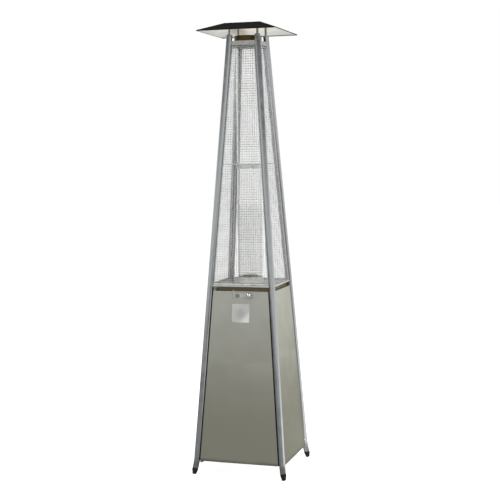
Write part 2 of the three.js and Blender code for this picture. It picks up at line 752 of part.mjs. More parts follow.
// Striker on the door, magnet on the deck's skirt, label plate on the door
function faceBlock(middle, width, row, height, y0, y1) {
  return block(middle - width / 2, middle + width / 2, y0, y1, row - height / 2, row + height / 2)
}

const STRIKER_FRONT = -FACE_OUT + SHEET + FIT
const MAGNET_FRONT = STRIKER_FRONT + SHEET + FIT
const LABEL_BACK = -FACE_OUT - FIT
const DOOR_EDGE = faceSpread(CONTROL_ROW) - POST_RADIUS - PANEL_GAP
const MAGNET_PLACE = DOOR_EDGE - STRIKER_EDGE - STRIKER_WIDTH / 2

add('door_striker', faceBlock(MAGNET_PLACE, STRIKER_WIDTH, CONTROL_ROW, STRIKER_HEIGHT,
  STRIKER_FRONT, STRIKER_FRONT + SHEET), 'brushedSteel', front)
add('door_magnet', faceBlock(MAGNET_PLACE, MAGNET_WIDTH, CONTROL_ROW, MAGNET_HEIGHT,
  MAGNET_FRONT, INNER_FACE - FIT), 'blackPlastic', front)
add('label_plate', faceBlock(LABEL_PLACE, LABEL_WIDTH, rowAt(LABEL_MIDDLE), LABEL_HEIGHT,
  LABEL_BACK - LABEL_SHEET, LABEL_BACK), 'labelFilm', front)

// Controls, in the front face's frame
function inwardRod(radius, y0, y1, x, row, sides = ROUND_SIDES) {
  return turnedInward([[0, y0], [radius, y0], [radius, y1], [0, y1]], sides, x, row)
}

function controlFascia() {
  const body = block(FASCIA_LEFT, FASCIA_RIGHT, FASCIA_FRONT, FASCIA_BACK,
    CONTROL_ROW - FASCIA_HALF, CONTROL_ROW + FASCIA_HALF)
  const knobHole = inwardRod(STEM_HOLE_RADIUS, -OVERRUN, OVERRUN, KNOB_PLACE, CONTROL_ROW)
  const buttonHole = inwardRod(BARREL_RADIUS + FIT, -OVERRUN, OVERRUN, IGNITER_PLACE, CONTROL_ROW)
  return body.subtract(knobHole).subtract(buttonHole)
}

const BOX_RISE = VALVE_HALF_HEIGHT + VALVE_HEADROOM
const BOX_LEFT = FASCIA_LEFT - BOX_MARGIN
const BOX_RIGHT = FASCIA_RIGHT + BOX_MARGIN
const BOX_MIDDLE = (BOX_LEFT + BOX_RIGHT) / 2

// Folded box behind the fascia, open below and behind, hung from the deck by two tabs
function controlBox() {
  const [low, high] = [CONTROL_ROW - FASCIA_HALF - BOX_MARGIN, CONTROL_ROW + BOX_RISE]
  const shell = block(BOX_LEFT, BOX_RIGHT, BOX_FRONT, BOX_DEPTH, low, high)
  const open = BOX_DEPTH + OVERRUN
  const room = block(BOX_LEFT + SHEET, BOX_RIGHT - SHEET, BOX_INSIDE, open, low - OVERRUN, high - SHEET)
  const tabTop = rowAt(DECK_TOP - SHEET - FIT + HANGER_PLACE * Math.sin(TILT))
  const tab = (x0, x1) => block(x0, x1, HANGER_PLACE, HANGER_PLACE + SHEET, high - SHEET, tabTop)
  const tabs = tab(BOX_LEFT, BOX_MIDDLE - HANGER_MARGIN).add(tab(BOX_MIDDLE + HANGER_MARGIN, BOX_RIGHT))
  const stemHole = inwardRod(STEM_HOLE_RADIUS, -OVERRUN, OVERRUN, KNOB_PLACE, CONTROL_ROW)
  const barrelHole = inwardRod(BARREL_RADIUS + FIT, -OVERRUN, OVERRUN, IGNITER_PLACE, CONTROL_ROW)
  return shell.subtract(room).add(tabs).subtract(stemHole).subtract(barrelHole)
}

function squareBar(half, y0, y1) {
  return block(KNOB_PLACE - half, KNOB_PLACE + half, y0, y1, CONTROL_ROW - half, CONTROL_ROW + half)
}

function gasValveBody() {
  const start = BOX_INSIDE + FIT
  const neck = inwardRod(VALVE_NECK_RADIUS, start, VALVE_FRONT + SHEET, KNOB_PLACE, CONTROL_ROW)
  const body = faceBlock(KNOB_PLACE, 2 * VALVE_HALF_WIDTH, CONTROL_ROW, 2 * VALVE_HALF_HEIGHT,
    VALVE_FRONT, VALVE_BACK)
  const end = VALVE_PLUG_END + FIT
  const bore = inwardRod(VALVE_PLUG_RADIUS + FIT, start - OVERRUN, end, KNOB_PLACE, CONTROL_ROW)
  return neck.add(body).subtract(bore)
}

function valvePlug() {
  const body = inwardRod(VALVE_PLUG_RADIUS, BOX_INSIDE + 2 * FIT, VALVE_PLUG_END, KNOB_PLACE, CONTROL_ROW)
  const socket = squareBar(STEM_SIDE / 2 + FIT, -OVERRUN, STEM_TAIL + KNOB_TRAVEL + SHEET)
  return body.subtract(socket)
}

function valveStem() {
  return squareBar(STEM_SIDE / 2, KNOB_BACK - KNOB_SOCKET + FIT, STEM_TAIL)
}

function controlKnob() {
  const cap = turnedInward([
    [0, KNOB_FRONT], [KNOB_RADIUS - KNOB_EDGE, KNOB_FRONT], [KNOB_RADIUS, KNOB_FRONT + KNOB_EDGE],
    [KNOB_RADIUS, KNOB_BACK], [0, KNOB_BACK],
  ], KNOB_SIDES, KNOB_PLACE, CONTROL_ROW)
  const socket = squareBar(STEM_SIDE / 2 + FIT, KNOB_BACK - KNOB_SOCKET, KNOB_BACK + OVERRUN)
  return cap.subtract(socket)
}

function igniterBarrel() {
  const bezelBack = FASCIA_FRONT - FIT
  const bore = BUTTON_RADIUS + FIT
  return turnedInward(closed([
    [bore, bezelBack - BEZEL_SHEET], [BEZEL_RADIUS, bezelBack - BEZEL_SHEET], [BEZEL_RADIUS, bezelBack],
    [BARREL_RADIUS, bezelBack], [BARREL_RADIUS, BARREL_END], [BARREL_VENT, BARREL_END],
    [BARREL_VENT, BARREL_END - BARREL_FLOOR], [bore, BARREL_END - BARREL_FLOOR],
  ]), ROUND_SIDES, IGNITER_PLACE, CONTROL_ROW)
}

function igniterButton() {
  return inwardRod(BUTTON_RADIUS, BUTTON_FACE, BUTTON_TAIL, IGNITER_PLACE, CONTROL_ROW)
}

// The tilt switch is screwed to the back of the left tab, above the box
function tiltSwitch() {
  const back = HANGER_PLACE + SHEET + FIT
  const middle = (BOX_LEFT + BOX_MIDDLE - HANGER_MARGIN) / 2
  const row = CONTROL_ROW + BOX_RISE + FIT + TILT_HEIGHT / 2
  return faceBlock(middle, TILT_WIDTH, row, TILT_HEIGHT, back, back + TILT_DEPTH)
}

// Hose nipple under the valve, with a hexagon and a barbed tail
function gasInlet() {
  const top = CONTROL_ROW - VALVE_HALF_HEIGHT - FIT
  const hexLow = top - INLET_HEX_HEIGHT
  const hex = rod(INLET_HEX, hexLow, top, HEX_SIDES, KNOB_PLACE, INLET_PLACE)
  const barb = (hexLow - (top - INLET_LENGTH)) / BARB_COUNT
  const tail = [[0, hexLow + SHEET], [INLET_NIPPLE, hexLow + SHEET]]
  for (let i = 0; i < BARB_COUNT; i += 1) {
    tail.push([INLET_BARB, hexLow - i * barb], [INLET_NIPPLE, hexLow - (i + 1) * barb])
  }
  tail.push([0, top - INLET_LENGTH])
  const nipple = turned(tail, ROUND_SIDES, [KNOB_PLACE, INLET_PLACE, 0])
  const bore = rod(INLET_BORE, top - INLET_LENGTH - OVERRUN, top - SHEET, PIN_SIDES, KNOB_PLACE, INLET_PLACE)
  return hex.add(nipple).subtract(bore)
}

add('control_fascia', controlFascia(), 'brushedSteel', front)
add('control_box', controlBox(), 'brushedSteel', front)
add('gas_valve_body', gasValveBody(), 'castAlloy', front)
add('valve_plug', valvePlug(), 'brass', front)
add('valve_stem', valveStem(), 'brass', front)
add('control_knob', controlKnob(), 'polishedSteel', front)
add('igniter_barrel', igniterBarrel(), 'polishedSteel', front)
add('igniter_button', igniterButton(), 'polishedSteel', front)
add('tilt_switch', tiltSwitch(), 'blackPlastic', front)
add('gas_inlet_fitting', gasInlet(), 'brass', front)

// Burner column on the axis
function venturiTube() {
  const flange = DECK_TOP + FIT
  const rim = VENTURI_RADIUS + VENTURI_FLANGE
  const body = turned(closed([
    [VENTURI_BORE, VENTURI_BOTTOM], [VENTURI_RADIUS, VENTURI_BOTTOM], [VENTURI_RADIUS, flange],
    [rim, flange], [rim, flange + SHEET], [VENTURI_RADIUS, flange + SHEET],
    [VENTURI_RADIUS, VENTURI_TOP], [VENTURI_BORE, VENTURI_TOP],
  ]), ROUND_SIDES)
  const low = VENTURI_BOTTOM + AIR_PORT_HALF
  const high = low + AIR_PORT_HEIGHT
  const far = VENTURI_RADIUS + OVERRUN
  const ports = block(-far, far, -AIR_PORT_HALF, AIR_PORT_HALF, low, high)
  return body.subtract(ports).subtract(block(-AIR_PORT_HALF, AIR_PORT_HALF, -far, far, low, high))
}

function injector() {
  const top = VENTURI_BOTTOM - FIT
  const hex = rod(INJECTOR_HEX, top - INJECTOR_HEIGHT, top, HEX_SIDES)
  return hex.add(rod(INJECTOR_TIP, top - SHEET, top + INJECTOR_TIP_HEIGHT, PIN_SIDES))
}

function burnerHead() {
  const seat = VENTURI_TOP + FIT
  const crown = BURNER_SHOULDER + BURNER_DOME
  const inside = BURNER_RADIUS - BURNER_WALL
  return turned([
    [0, crown - BURNER_WALL], [inside, BURNER_SHOULDER - BURNER_WALL],
    [inside, BURNER_FLOOR + BURNER_WALL], [VENTURI_BORE, seat + BURNER_WALL],
    [VENTURI_BORE, seat], [VENTURI_RADIUS + BURNER_NECK_LIP, seat], [BURNER_RADIUS, BURNER_FLOOR],
    [BURNER_RADIUS, BURNER_SHOULDER], [0, crown],
  ], GLASS_SIDES)
}

// Lines under the deck: each leaves the valve or igniter and rises through a hole in the deck
function riserPath(start, [x, y], top) {
  const level = DECK_TOP - TUBE_DROP
  const knee = start.clone().lerp(new THREE.Vector3(x, y, start.z), KNEE_SHARE)
  knee.z = (start.z + level) / 2
  const rise = [level, (level + top) / 2, top].map((z) => new THREE.Vector3(x, y, z))
  const lead = start.clone().lerp(new THREE.Vector3(start.x, y, start.z), LEAD_OUT_SHARE)
  return [start, lead, knee, ...rise]
}

const VALVE_PORT = VALVE_BACK + FIT
const PORT_STEP = VALVE_HALF_WIDTH / 2

function mainGasTube() {
  const start = fromFront(KNOB_PLACE, VALVE_PORT, CONTROL_ROW)
  const end = new THREE.Vector3(0, 0, VENTURI_BOTTOM - INJECTOR_HEIGHT - 2 * FIT)
  const lead = start.clone().lerp(new THREE.Vector3(start.x, 0, start.z), LEAD_OUT_SHARE)
  const low = new THREE.Vector3(0, 0, end.z - TUBE_DROP)
  const swing = start.clone().lerp(low, KNEE_SHARE)
  return bentTube([start, lead, swing, low, end], MAIN_TUBE_RADIUS)
}

function pilotTube() {
  const start = fromFront(KNOB_PLACE - PORT_STEP, VALVE_PORT, CONTROL_ROW + PORT_STEP)
  return bentTube(riserPath(start, PILOT_PLACE, PILOT_FOOT - FIT), PILOT_TUBE_RADIUS)
}

function pilotBurner() {
  const [x, y] = PILOT_PLACE
  const body = rod(PILOT_RADIUS, PILOT_FOOT, PILOT_FOOT + PILOT_HEIGHT, PIN_SIDES, x, y)
  const top = PILOT_FOOT + PILOT_HEIGHT
  const mouth = PILOT_RADIUS - PILOT_WALL
  return body.subtract(rod(mouth, top - PILOT_MOUTH_DEPTH, top + OVERRUN, PIN_SIDES, x, y))
}

function thermocouple() {
  const [x, y] = THERMOCOUPLE_PLACE
  const start = fromFront(KNOB_PLACE + PORT_STEP, VALVE_PORT, CONTROL_ROW + PORT_STEP)
  const lead = bentTube(riserPath(start, THERMOCOUPLE_PLACE, THERMOCOUPLE_FOOT + SHEET), LEAD_RADIUS)
  const tip = THERMOCOUPLE_FOOT + THERMOCOUPLE_LENGTH
  return lead.add(rod(THERMOCOUPLE_TIP, THERMOCOUPLE_FOOT, tip, PIN_SIDES, x, y))
}

function sparkElectrode() {
  const [x, y] = ELECTRODE_PLACE
  const flange = DECK_TOP + FIT
  const rim = ELECTRODE_RADIUS + ELECTRODE_FLANGE
  const tip = ELECTRODE_SHOULDER + ELECTRODE_WIRE_LENGTH
  return turned([
    [0, ELECTRODE_FOOT], [ELECTRODE_RADIUS, ELECTRODE_FOOT], [ELECTRODE_RADIUS, flange],
    [rim, flange], [rim, flange + SHEET], [ELECTRODE_RADIUS, flange + SHEET],
    [ELECTRODE_RADIUS, ELECTRODE_SHOULDER], [ELECTRODE_WIRE, ELECTRODE_SHOULDER],
    [ELECTRODE_WIRE, tip], [0, tip],
  ], PIN_SIDES, [x, y, 0])
}

function igniterLead() {
  const [x, y] = ELECTRODE_PLACE
  const start = fromFront(IGNITER_PLACE, BARREL_END + FIT, CONTROL_ROW)
  const end = new THREE.Vector3(x, y, ELECTRODE_FOOT - FIT)
  const lead = start.clone().lerp(new THREE.Vector3(start.x, y, start.z), LEAD_OUT_SHARE)
  const knee = new THREE.Vector3(x, y, end.z - TUBE_DROP)
  return bentTube([start, lead, knee, end], LEAD_RADIUS)
}

add('venturi_tube', venturiTube(), 'brushedSteel')
add('injector', injector(), 'brass')
add('burner_head', burnerHead(), 'darkSteel')
add('main_gas_tube', mainGasTube(), 'copper')
add('pilot_tube', pilotTube(), 'copper')
add('pilot_burner', pilotBurner(), 'brass')
add('thermocouple', thermocouple(), 'copper')
add('spark_electrode', sparkElectrode(), 'ceramic')
add('igniter_lead', igniterLead(), 'rubber')

// Glass tube and what holds it
function ringProfile(inner, outer, z0, z1) {
  return closed([[inner, z0], [outer, z0], [outer, z1], [inner, z1]])
}

function tubeSeat() {
  const bottom = DECK_TOP + FIT
  const inside = GLASS_RADIUS + GLASS_FIT
  const outside = inside + SEAT_WALL
  const rim = outside + SEAT_FLANGE
  const top = DECK_TOP + SEAT_HEIGHT
  return turned(closed([
    [SEAT_BORE, bottom], [rim, bottom], [rim, bottom + SEAT_FLANGE_SHEET],
    [outside, bottom + SEAT_FLANGE_SHEET], [outside, top], [inside, top],
    [inside, GLASS_BOTTOM - FIT], [SEAT_BORE, GLASS_BOTTOM - FIT],
  ]), GLASS_SIDES)
}

function midRing() {
  const half = MID_RING_HEIGHT / 2
  const web = MID_RING_WEB / 2
  const inside = GLASS_RADIUS + GLASS_FIT
  const outside = inside + MID_RING_LIP
  return turned(closed([
    [GLASS_RADIUS - GLASS_WALL, MID_RING - web], [inside, MID_RING - web], [inside, MID_RING - half],
    [outside, MID_RING - half], [outside, MID_RING + half], [inside, MID_RING + half],
    [inside, MID_RING + web], [GLASS_RADIUS - GLASS_WALL, MID_RING + web],
  ]), GLASS_SIDES)
}

function glassTube(z0, z1) {
  return turned(ringProfile(GLASS_RADIUS - GLASS_WALL, GLASS_RADIUS, z0, z1), GLASS_SIDES)
}

function flameCollar() {
  const bottom = TOP_PLATE_TOP + FIT
  return turned(closed([
    [COLLAR_BORE, bottom], [COLLAR_RADIUS, bottom], [COLLAR_RADIUS, bottom + COLLAR_HEIGHT],
    [COLLAR_RADIUS - SHEET, bottom + COLLAR_HEIGHT], [COLLAR_RADIUS - SHEET, bottom + SHEET],
    [COLLAR_BORE, bottom + SHEET],
  ]), GLASS_SIDES)
}

const WEB_GAP = MID_RING_WEB / 2 + FIT
add('tube_seat', tubeSeat(), 'brushedSteel')
add('glass_tube_lower', glassTube(GLASS_BOTTOM, MID_RING - WEB_GAP), 'glass')
add('tube_mid_ring', midRing(), 'darkSteel')
add('glass_tube_upper', glassTube(MID_RING + WEB_GAP, GLASS_TOP), 'glass')
add('flame_collar', flameCollar(), 'darkSteel')

// Guards: a sloping grille of cross wires in a frame, between each pair of posts
function guardHalf(row, inset) {
  return faceSpread(row) - POST_RADIUS - FIT - inset
}

function guardOutline(row0, row1, inset) {
  const [half0, half1] = [guardHalf(row0, inset), guardHalf(row1, inset)]
  return [[-half0, row0], [half0, row0], [half1, row1], [-half1, row1]]
}

function guard() {
  const half = GUARD_FRAME / 2
  const bottom = rowAt(DECK_TOP + FIT) + half * Math.tan(TILT)
  const top = rowAt(GUARD_TOP)
  const opening = guardOutline(bottom + GUARD_FRAME, top - GUARD_FRAME, GUARD_FRAME)
  let grille = plate(guardOutline(bottom, top, 0), -half, half)
  grille = grille.subtract(plate(opening, -half - OVERRUN, half + OVERRUN))
  const pitch = (top - bottom) / GUARD_ROWS
  const thick = GUARD_WIRE / 2
  for (let i = 1; i < GUARD_ROWS; i += 1) {
    const row = bottom + i * pitch
    const reach = guardHalf(row + thick, half)
    grille = grille.add(block(-reach, reach, -thick, thick, row - thick, row + thick))
  }
  return grille.add(block(-thick, thick, -thick, thick, bottom + half, top - half))
}

faces.forEach((face, i) => add(`${face.name}_guard`, guard(), 'guardWire', faceGroups[i]))

// Top plate: a tray turned down, which ties the posts and passes the glass tube
function topPlate() {
  const shell = frustum(spread(TOP_PLATE_BOTTOM) + FACE_OUT, spread(TOP_PLATE_TOP) + FACE_OUT,
    TOP_PLATE_BOTTOM, TOP_PLATE_TOP)
  const [low, high] = [TOP_PLATE_BOTTOM - OVERRUN, TOP_PLATE_TOP - SHEET]
  const room = frustum(spread(low) + FACE_OUT - SHEET, spread(high) + FACE_OUT - SHEET, low, high)
  const hole = rod(GLASS_RADIUS + GLASS_FIT, high - OVERRUN, TOP_PLATE_TOP + OVERRUN, GLASS_SIDES)
  return shell.subtract(room).subtract(hole).subtract(postBars(straightPost(TOP_PLATE_BOTTOM, TOP_PLATE_TOP)))
}

// A square dish turned down: sloping sides, flat crown and a short upright hem
function reflector() {
  const hemTop = REFLECTOR_RIM + REFLECTOR_HEM
  const dish = frustum(REFLECTOR_RIM_HALF, REFLECTOR_CROWN_HALF, hemTop, TOTAL_HEIGHT)
  const hem = frustum(REFLECTOR_RIM_HALF, REFLECTOR_RIM_HALF, REFLECTOR_RIM, hemTop)
  const inside = REFLECTOR_RIM_HALF - SHEET
  const hollow = frustum(inside, REFLECTOR_CROWN_HALF - SHEET, hemTop - SHEET, TOTAL_HEIGHT - SHEET)
  const mouth = frustum(inside, inside, REFLECTOR_RIM - OVERRUN, hemTop - SHEET)
  return dish.add(hem).subtract(hollow.add(mouth))
}

// A plug in the post's top, with a rod that rises to the crown
function standoff(corner) {
  const plug = [postPoint(corner, POST_TOP - STANDOFF_PLUG), postPoint(corner, POST_TOP + STANDOFF_CAP)]
  const cap = [postPoint(corner, POST_TOP + FIT), postPoint(corner, POST_TOP + STANDOFF_CAP)]
  const { x, y } = postPoint(corner, POST_TOP)
  const upright = rod(STANDOFF_RADIUS, POST_TOP, TOTAL_HEIGHT - SHEET - FIT, STANDOFF_SIDES, x, y)
  const body = barAlong(plug, POST_BORE - FIT, STANDOFF_SIDES).add(barAlong(cap, POST_RADIUS, POST_SIDES))
  return body.add(upright)
}

add('top_plate', topPlate(), 'brushedSteel')
add('reflector', reflector(), 'blackEnamel')
for (const corner of corners) {
  add(`standoff_${corner.name}`, standoff(corner), 'polishedSteel')
}

export default heater
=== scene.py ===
import math

import bpy
from mathutils import Matrix, Vector


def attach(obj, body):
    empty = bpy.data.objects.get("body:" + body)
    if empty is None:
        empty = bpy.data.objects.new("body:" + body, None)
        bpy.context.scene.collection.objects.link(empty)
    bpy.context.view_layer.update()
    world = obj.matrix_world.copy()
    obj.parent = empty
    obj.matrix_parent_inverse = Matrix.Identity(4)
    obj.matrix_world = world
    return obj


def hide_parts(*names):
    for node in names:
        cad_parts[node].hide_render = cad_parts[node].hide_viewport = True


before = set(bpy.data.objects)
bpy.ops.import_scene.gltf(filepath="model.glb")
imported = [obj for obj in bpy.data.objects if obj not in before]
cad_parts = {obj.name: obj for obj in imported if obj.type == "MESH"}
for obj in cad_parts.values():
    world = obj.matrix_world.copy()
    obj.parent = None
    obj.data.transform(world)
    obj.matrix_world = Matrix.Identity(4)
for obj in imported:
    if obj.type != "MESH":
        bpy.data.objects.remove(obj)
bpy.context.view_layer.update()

bpy.ops.object.select_all(action="DESELECT")

# Driving sizes, in metres
MM = 0.001
FIT = 0.3 * MM
SHEET = 1.2 * MM
TOTAL_HEIGHT = 2270 * MM
POST_TOP = 2210 * MM
FLOOR_SPREAD = 229.5 * MM
TOP_SPREAD = 73 * MM
POST_RADIUS = 15 * MM
POST_WALL = 1.5 * MM
POST_JOINT = 951 * MM
FACE_OUT = 6 * MM
DECK_TOP = 962 * MM
DECK_LIP = 8 * MM
CONTROL_MIDDLE = 911 * MM
KNOB_PLACE = 46 * MM
IGNITER_PLACE = -16 * MM
LABEL_MIDDLE = (1.5 * MM, -178 * MM, 822 * MM)
GUARD_TOP = 2157 * MM
SEAT_TOP = 990 * MM
GLASS_FOOT = 972 * MM
GLASS_JOINT = 1555 * MM
GLASS_TOP = 2177 * MM
GLASS_RADIUS = 62.5 * MM
GLASS_WALL = 3 * MM
TOP_PLATE_TOP = 2181 * MM
TOP_PLATE_FLANGE = 22 * MM
COLLAR_TOP = 2209.3 * MM
REFLECTOR_RIM = 2224 * MM
ROUND_SIDES = 48
KNOB_SIDES = 72
GLASS_SIDES = 96

LEAN = (FLOOR_SPREAD - TOP_SPREAD) / POST_TOP
TILT = math.atan(LEAN)
CORNERS = {"front_left": (-1, -1), "front_right": (1, -1), "rear_left": (-1, 1), "rear_right": (1, 1)}
FACES = ("front", "right", "rear", "left")


def spread(z):
    """Half the distance between the posts' axes at a height."""
    return FLOOR_SPREAD - LEAN * z


def face_spread(row):
    """Half the distance between the posts' axes at a length up the slope of a face."""
    return FLOOR_SPREAD - row * math.sin(TILT)


def row_at(z):
    return z / math.cos(TILT)


def face_matrix(quarter):
    """From a face's own frame, X across, Y inward and Z up the slope, to the heater's frame."""
    turn = Matrix.Rotation(quarter * math.pi / 2, 4, "Z")
    return turn @ Matrix.Translation((0, -FLOOR_SPREAD, 0)) @ Matrix.Rotation(-TILT, 4, "X")


# Colours and shader nodes
def colour(code):
    """An sRGB hex colour as linear light, with full alpha."""
    shares = [int(code[i:i + 2], 16) / 255 for i in (1, 3, 5)]
    return [s / 12.92 if s <= 0.04045 else ((s + 0.055) / 1.055) ** 2.4 for s in shares] + [1]


def add(tree, kind, output, inputs, **settings):
    """Adds one shader node with its settings, and gives back one of its outputs. Each input is a
    value, or another node's output to link from."""
    made = tree.nodes.new("ShaderNode" + kind)
    for key, value in settings.items():
        setattr(made, key, value)
    for key, value in inputs.items():
        if isinstance(value, bpy.types.NodeSocket):
            tree.links.new(value, made.inputs[key])
        else:
            made.inputs[key].default_value = value
    return made.outputs[output]


def new_material(name, **values):
    """A material with one surface shader, whose constant sockets are set by name."""
    material = bpy.data.materials.new(name)
    material.use_nodes = True
    tree = material.node_tree
    shader = tree.nodes["Principled BSDF"]
    for key, value in values.items():
        shader.inputs[key.replace("_", " ")].default_value = value
    place = add(tree, "TexCoord", "Object", {})
    return material, tree, shader, place


def link(tree, shader, **sockets):
    """Links the shader's patterned sockets, by name with underscores for spaces."""
    for key, value in sockets.items():
        tree.links.new(value, shader.inputs[key.replace("_", " ")])


def brushed_stainless(name, pale, dull, rough, grain):
    """Stainless sheet with a brushed finish, filmed by weather and cleaning. It gives the eye fine
    parallel lines, a soft sheen drawn out across them, cloudy wiped patches and duller streaks."""
    material, tree, shader, place = new_material(name, Metallic=1, Anisotropic=0.4)
    along = add(tree, "Mapping", "Vector", {"Vector": place, "Scale": grain})
    # Real grit lines are 0.1 mm wide, too fine to show, so they are drawn 0.7 mm and 4 mm wide
    fine = add(tree, "TexNoise", "Fac", {"Vector": along, "Scale": 1 / (0.7 * MM), "Detail": 2})
    broad = add(tree, "TexNoise", "Fac", {"Vector": along, "Scale": 1 / (4 * MM), "Detail": 3})
    cloud = add(tree, "TexNoise", "Fac", {"Vector": place, "Scale": 1 / (160 * MM), "Detail": 4})
    wiped = add(tree, "MapRange", "Result", {"Value": cloud, "From Min": 0.35, "From Max": 0.65})
    tone = add(tree, "Mix", 2, {0: wiped, 6: colour(dull), 7: colour(pale)}, data_type="RGBA")
    line = add(tree, "MapRange", "Result", {"Value": broad, "From Min": 0.4, "From Max": 0.75,
                                            "To Max": 0.3})
    tone = add(tree, "Mix", 2, {0: line, 6: tone, 7: colour(dull)}, data_type="RGBA")
    sheen = add(tree, "MapRange", "Result", {"Value": cloud, "From Min": 0.3, "From Max": 0.7,
                                             "To Min": rough[0], "To Max": rough[1]})
    sheen = add(tree, "Math", 0, {0: fine, 1: 0.08, 2: sheen}, operation="MULTIPLY_ADD")
    normal = add(tree, "Bump", "Normal", {"Height": fine, "Strength": 0.1, "Distance": 0.05 * MM})
    link(tree, shader, Base_Color=tone, Roughness=sheen, Normal=normal)
    return material


def panel_steel_painted_shade_below(name, pale, dull, ground_shade, strength):
    """Brushed stainless panels with painted shade towards the ground, duller and browner lower down.
    They give the eye a cool grey at the top that turns to a warm dark grey below."""
    material = brushed_stainless(name, pale, dull, (0.36, 0.44), (1, 1, 1 / 200))
    tree = material.node_tree
    shader = tree.nodes["Principled BSDF"]
    clean = shader.inputs["Base Color"].links[0].from_socket
    place = add(tree, "TexCoord", "Object", {})
    height = add(tree, "SeparateXYZ", "Z", {"Vector": place})
    # Painted shade: the steel turns darker and browner towards the ground, up to a ragged edge
    ragged_edge = add(tree, "TexNoise", "Fac", {"Vector": place, "Scale": 1 / (90 * MM), "Detail": 5})
    level = add(tree, "Math", 0, {0: ragged_edge, 1: 0.16, 2: height}, operation="MULTIPLY_ADD")
    shade_below = add(tree, "MapRange", "Result", {"Value": level, "From Min": 1.02, "From Max": 0.3,
                                            "To Min": 0, "To Max": strength}, interpolation_type="SMOOTHSTEP")
    tone = add(tree, "Mix", 2, {0: shade_below, 6: clean, 7: colour(ground_shade)}, data_type="RGBA")
    # Painted shade: a darker line along the bottom fold
    fold_shade = add(tree, "Math", 0, {0: ragged_edge, 1: 0.02, 2: height}, operation="MULTIPLY_ADD")
    fold_shade = add(tree, "MapRange", "Result", {"Value": fold_shade, "From Min": 100 * MM, "From Max": 76 * MM,
                                            "To Max": 0.7}, interpolation_type="SMOOTHSTEP")
    tone = add(tree, "Mix", 2, {0: fold_shade, 6: tone, 7: colour("#555547")}, data_type="RGBA")
    link(tree, shader, Base_Color=tone)
    return material


def blasted_stainless(name, pale, dull):
    """Stainless sheet blasted with glass beads, which scatters light nearly as paint does. It gives the
    eye an even pale grey with a fine sparkle and faint hand marks."""
    material, tree, shader, place = new_material(name, Metallic=0.4)
    pits = add(tree, "TexNoise", "Fac", {"Vector": place, "Scale": 1 / (0.8 * MM), "Detail": 2})
    marks = add(tree, "TexNoise", "Fac", {"Vector": place, "Scale": 1 / (35 * MM), "Detail": 4})
    tone = add(tree, "Mix", 2, {0: marks, 6: colour(dull), 7: colour(pale)}, data_type="RGBA")
    sheen = add(tree, "MapRange", "Result", {"Value": marks, "From Min": 0.3, "From Max": 0.7,
                                             "To Min": 0.46, "To Max": 0.6})
    normal = add(tree, "Bump", "Normal", {"Height": pits, "Strength": 0.2, "Distance": 0.05 * MM})
    link(tree, shader, Base_Color=tone, Roughness=sheen, Normal=normal)
    return material


def polished_tube():
    """Stainless tube polished lengthwise. It gives the eye a hard near mirror with faint drawn lines
    and cloudy finger marks, with painted shade next to the ground, where it is also rougher."""
    material, tree, shader, place = new_material("polished_stainless_tube", Metallic=1)
    along = add(tree, "Mapping", "Vector", {"Vector": place, "Scale": (1, 1, 1 / 300)})
    lines = add(tree, "TexNoise", "Fac", {"Vector": along, "Scale": 1 / (0.8 * MM), "Detail": 2})
    marks = add(tree, "TexNoise", "Fac", {"Vector": place, "Scale": 1 / (45 * MM), "Detail": 5})
    tone = add(tree, "Mix", 2, {0: marks, 6: colour("#a7aaad"), 7: colour("#c0c3c5")}, data_type="RGBA")
    sheen = add(tree, "MapRange", "Result", {"Value": marks, "From Min": 0.3, "From Max": 0.7,
                                             "To Min": 0.12, "To Max": 0.22})
    # Painted shade: the tube turns darker next to the ground
    height = add(tree, "SeparateXYZ", "Z", {"Vector": place})
    level = add(tree, "Math", 0, {0: marks, 1: 30 * MM, 2: height}, operation="MULTIPLY_ADD")
    ground_shade = add(tree, "MapRange", "Result", {"Value": level, "From Min": 108 * MM, "From Max": 72 * MM,
                                              "To Max": 0.75}, interpolation_type="SMOOTHSTEP")
    tone = add(tree, "Mix", 2, {0: ground_shade, 6: tone, 7: colour("#73736e")}, data_type="RGBA")
    sheen = add(tree, "Math", 0, {0: lines, 1: 0.06, 2: sheen}, operation="MULTIPLY_ADD")
    sheen = add(tree, "Math", 0, {0: ground_shade, 1: 0.25, 2: sheen}, operation="MULTIPLY_ADD")
    normal = add(tree, "Bump", "Normal", {"Height": lines, "Strength": 0.08, "Distance": 0.04 * MM})
    link(tree, shader, Base_Color=tone, Roughness=sheen, Normal=normal)
    return material


def plated_wire():
    """Drawn steel wire with bright zinc plate. It gives the eye a pale, slightly milky shine that
    breaks into dull specks where water has dried."""
    material, tree, shader, place = new_material("bright_zinc_plated_wire", Metallic=0.9)
    specks = add(tree, "TexNoise", "Fac", {"Vector": place, "Scale": 1 / (6 * MM), "Detail": 4})
    tone = add(tree, "Mix", 2, {0: specks, 6: colour("#cdcfce"), 7: colour("#e6e7e5")}, data_type="RGBA")
    sheen = add(tree, "MapRange", "Result", {"Value": specks, "From Min": 0.3, "From Max": 0.7,
                                             "To Min": 0.36, "To Max": 0.22})
    link(tree, shader, Base_Color=tone, Roughness=sheen)
    return material


def bright_chrome():
    """Chromium plate over a smooth casting. It gives the eye a cool bright shine, a little soft, with
    a few dull water spots."""
    material, tree, shader, place = new_material("bright_chrome", Metallic=1)
    spots = add(tree, "TexNoise", "Fac", {"Vector": place, "Scale": 1 / (3 * MM), "Detail": 3})
    tone = add(tree, "Mix", 2, {0: spots, 6: colour("#d6d8da"), 7: colour("#eceeef")}, data_type="RGBA")
    sheen = add(tree, "MapRange", "Result", {"Value": spots, "From Min": 0.3, "From Max": 0.7,
                                             "To Min": 0.26, "To Max": 0.14})
    link(tree, shader, Base_Color=tone, Roughness=sheen)
    return material


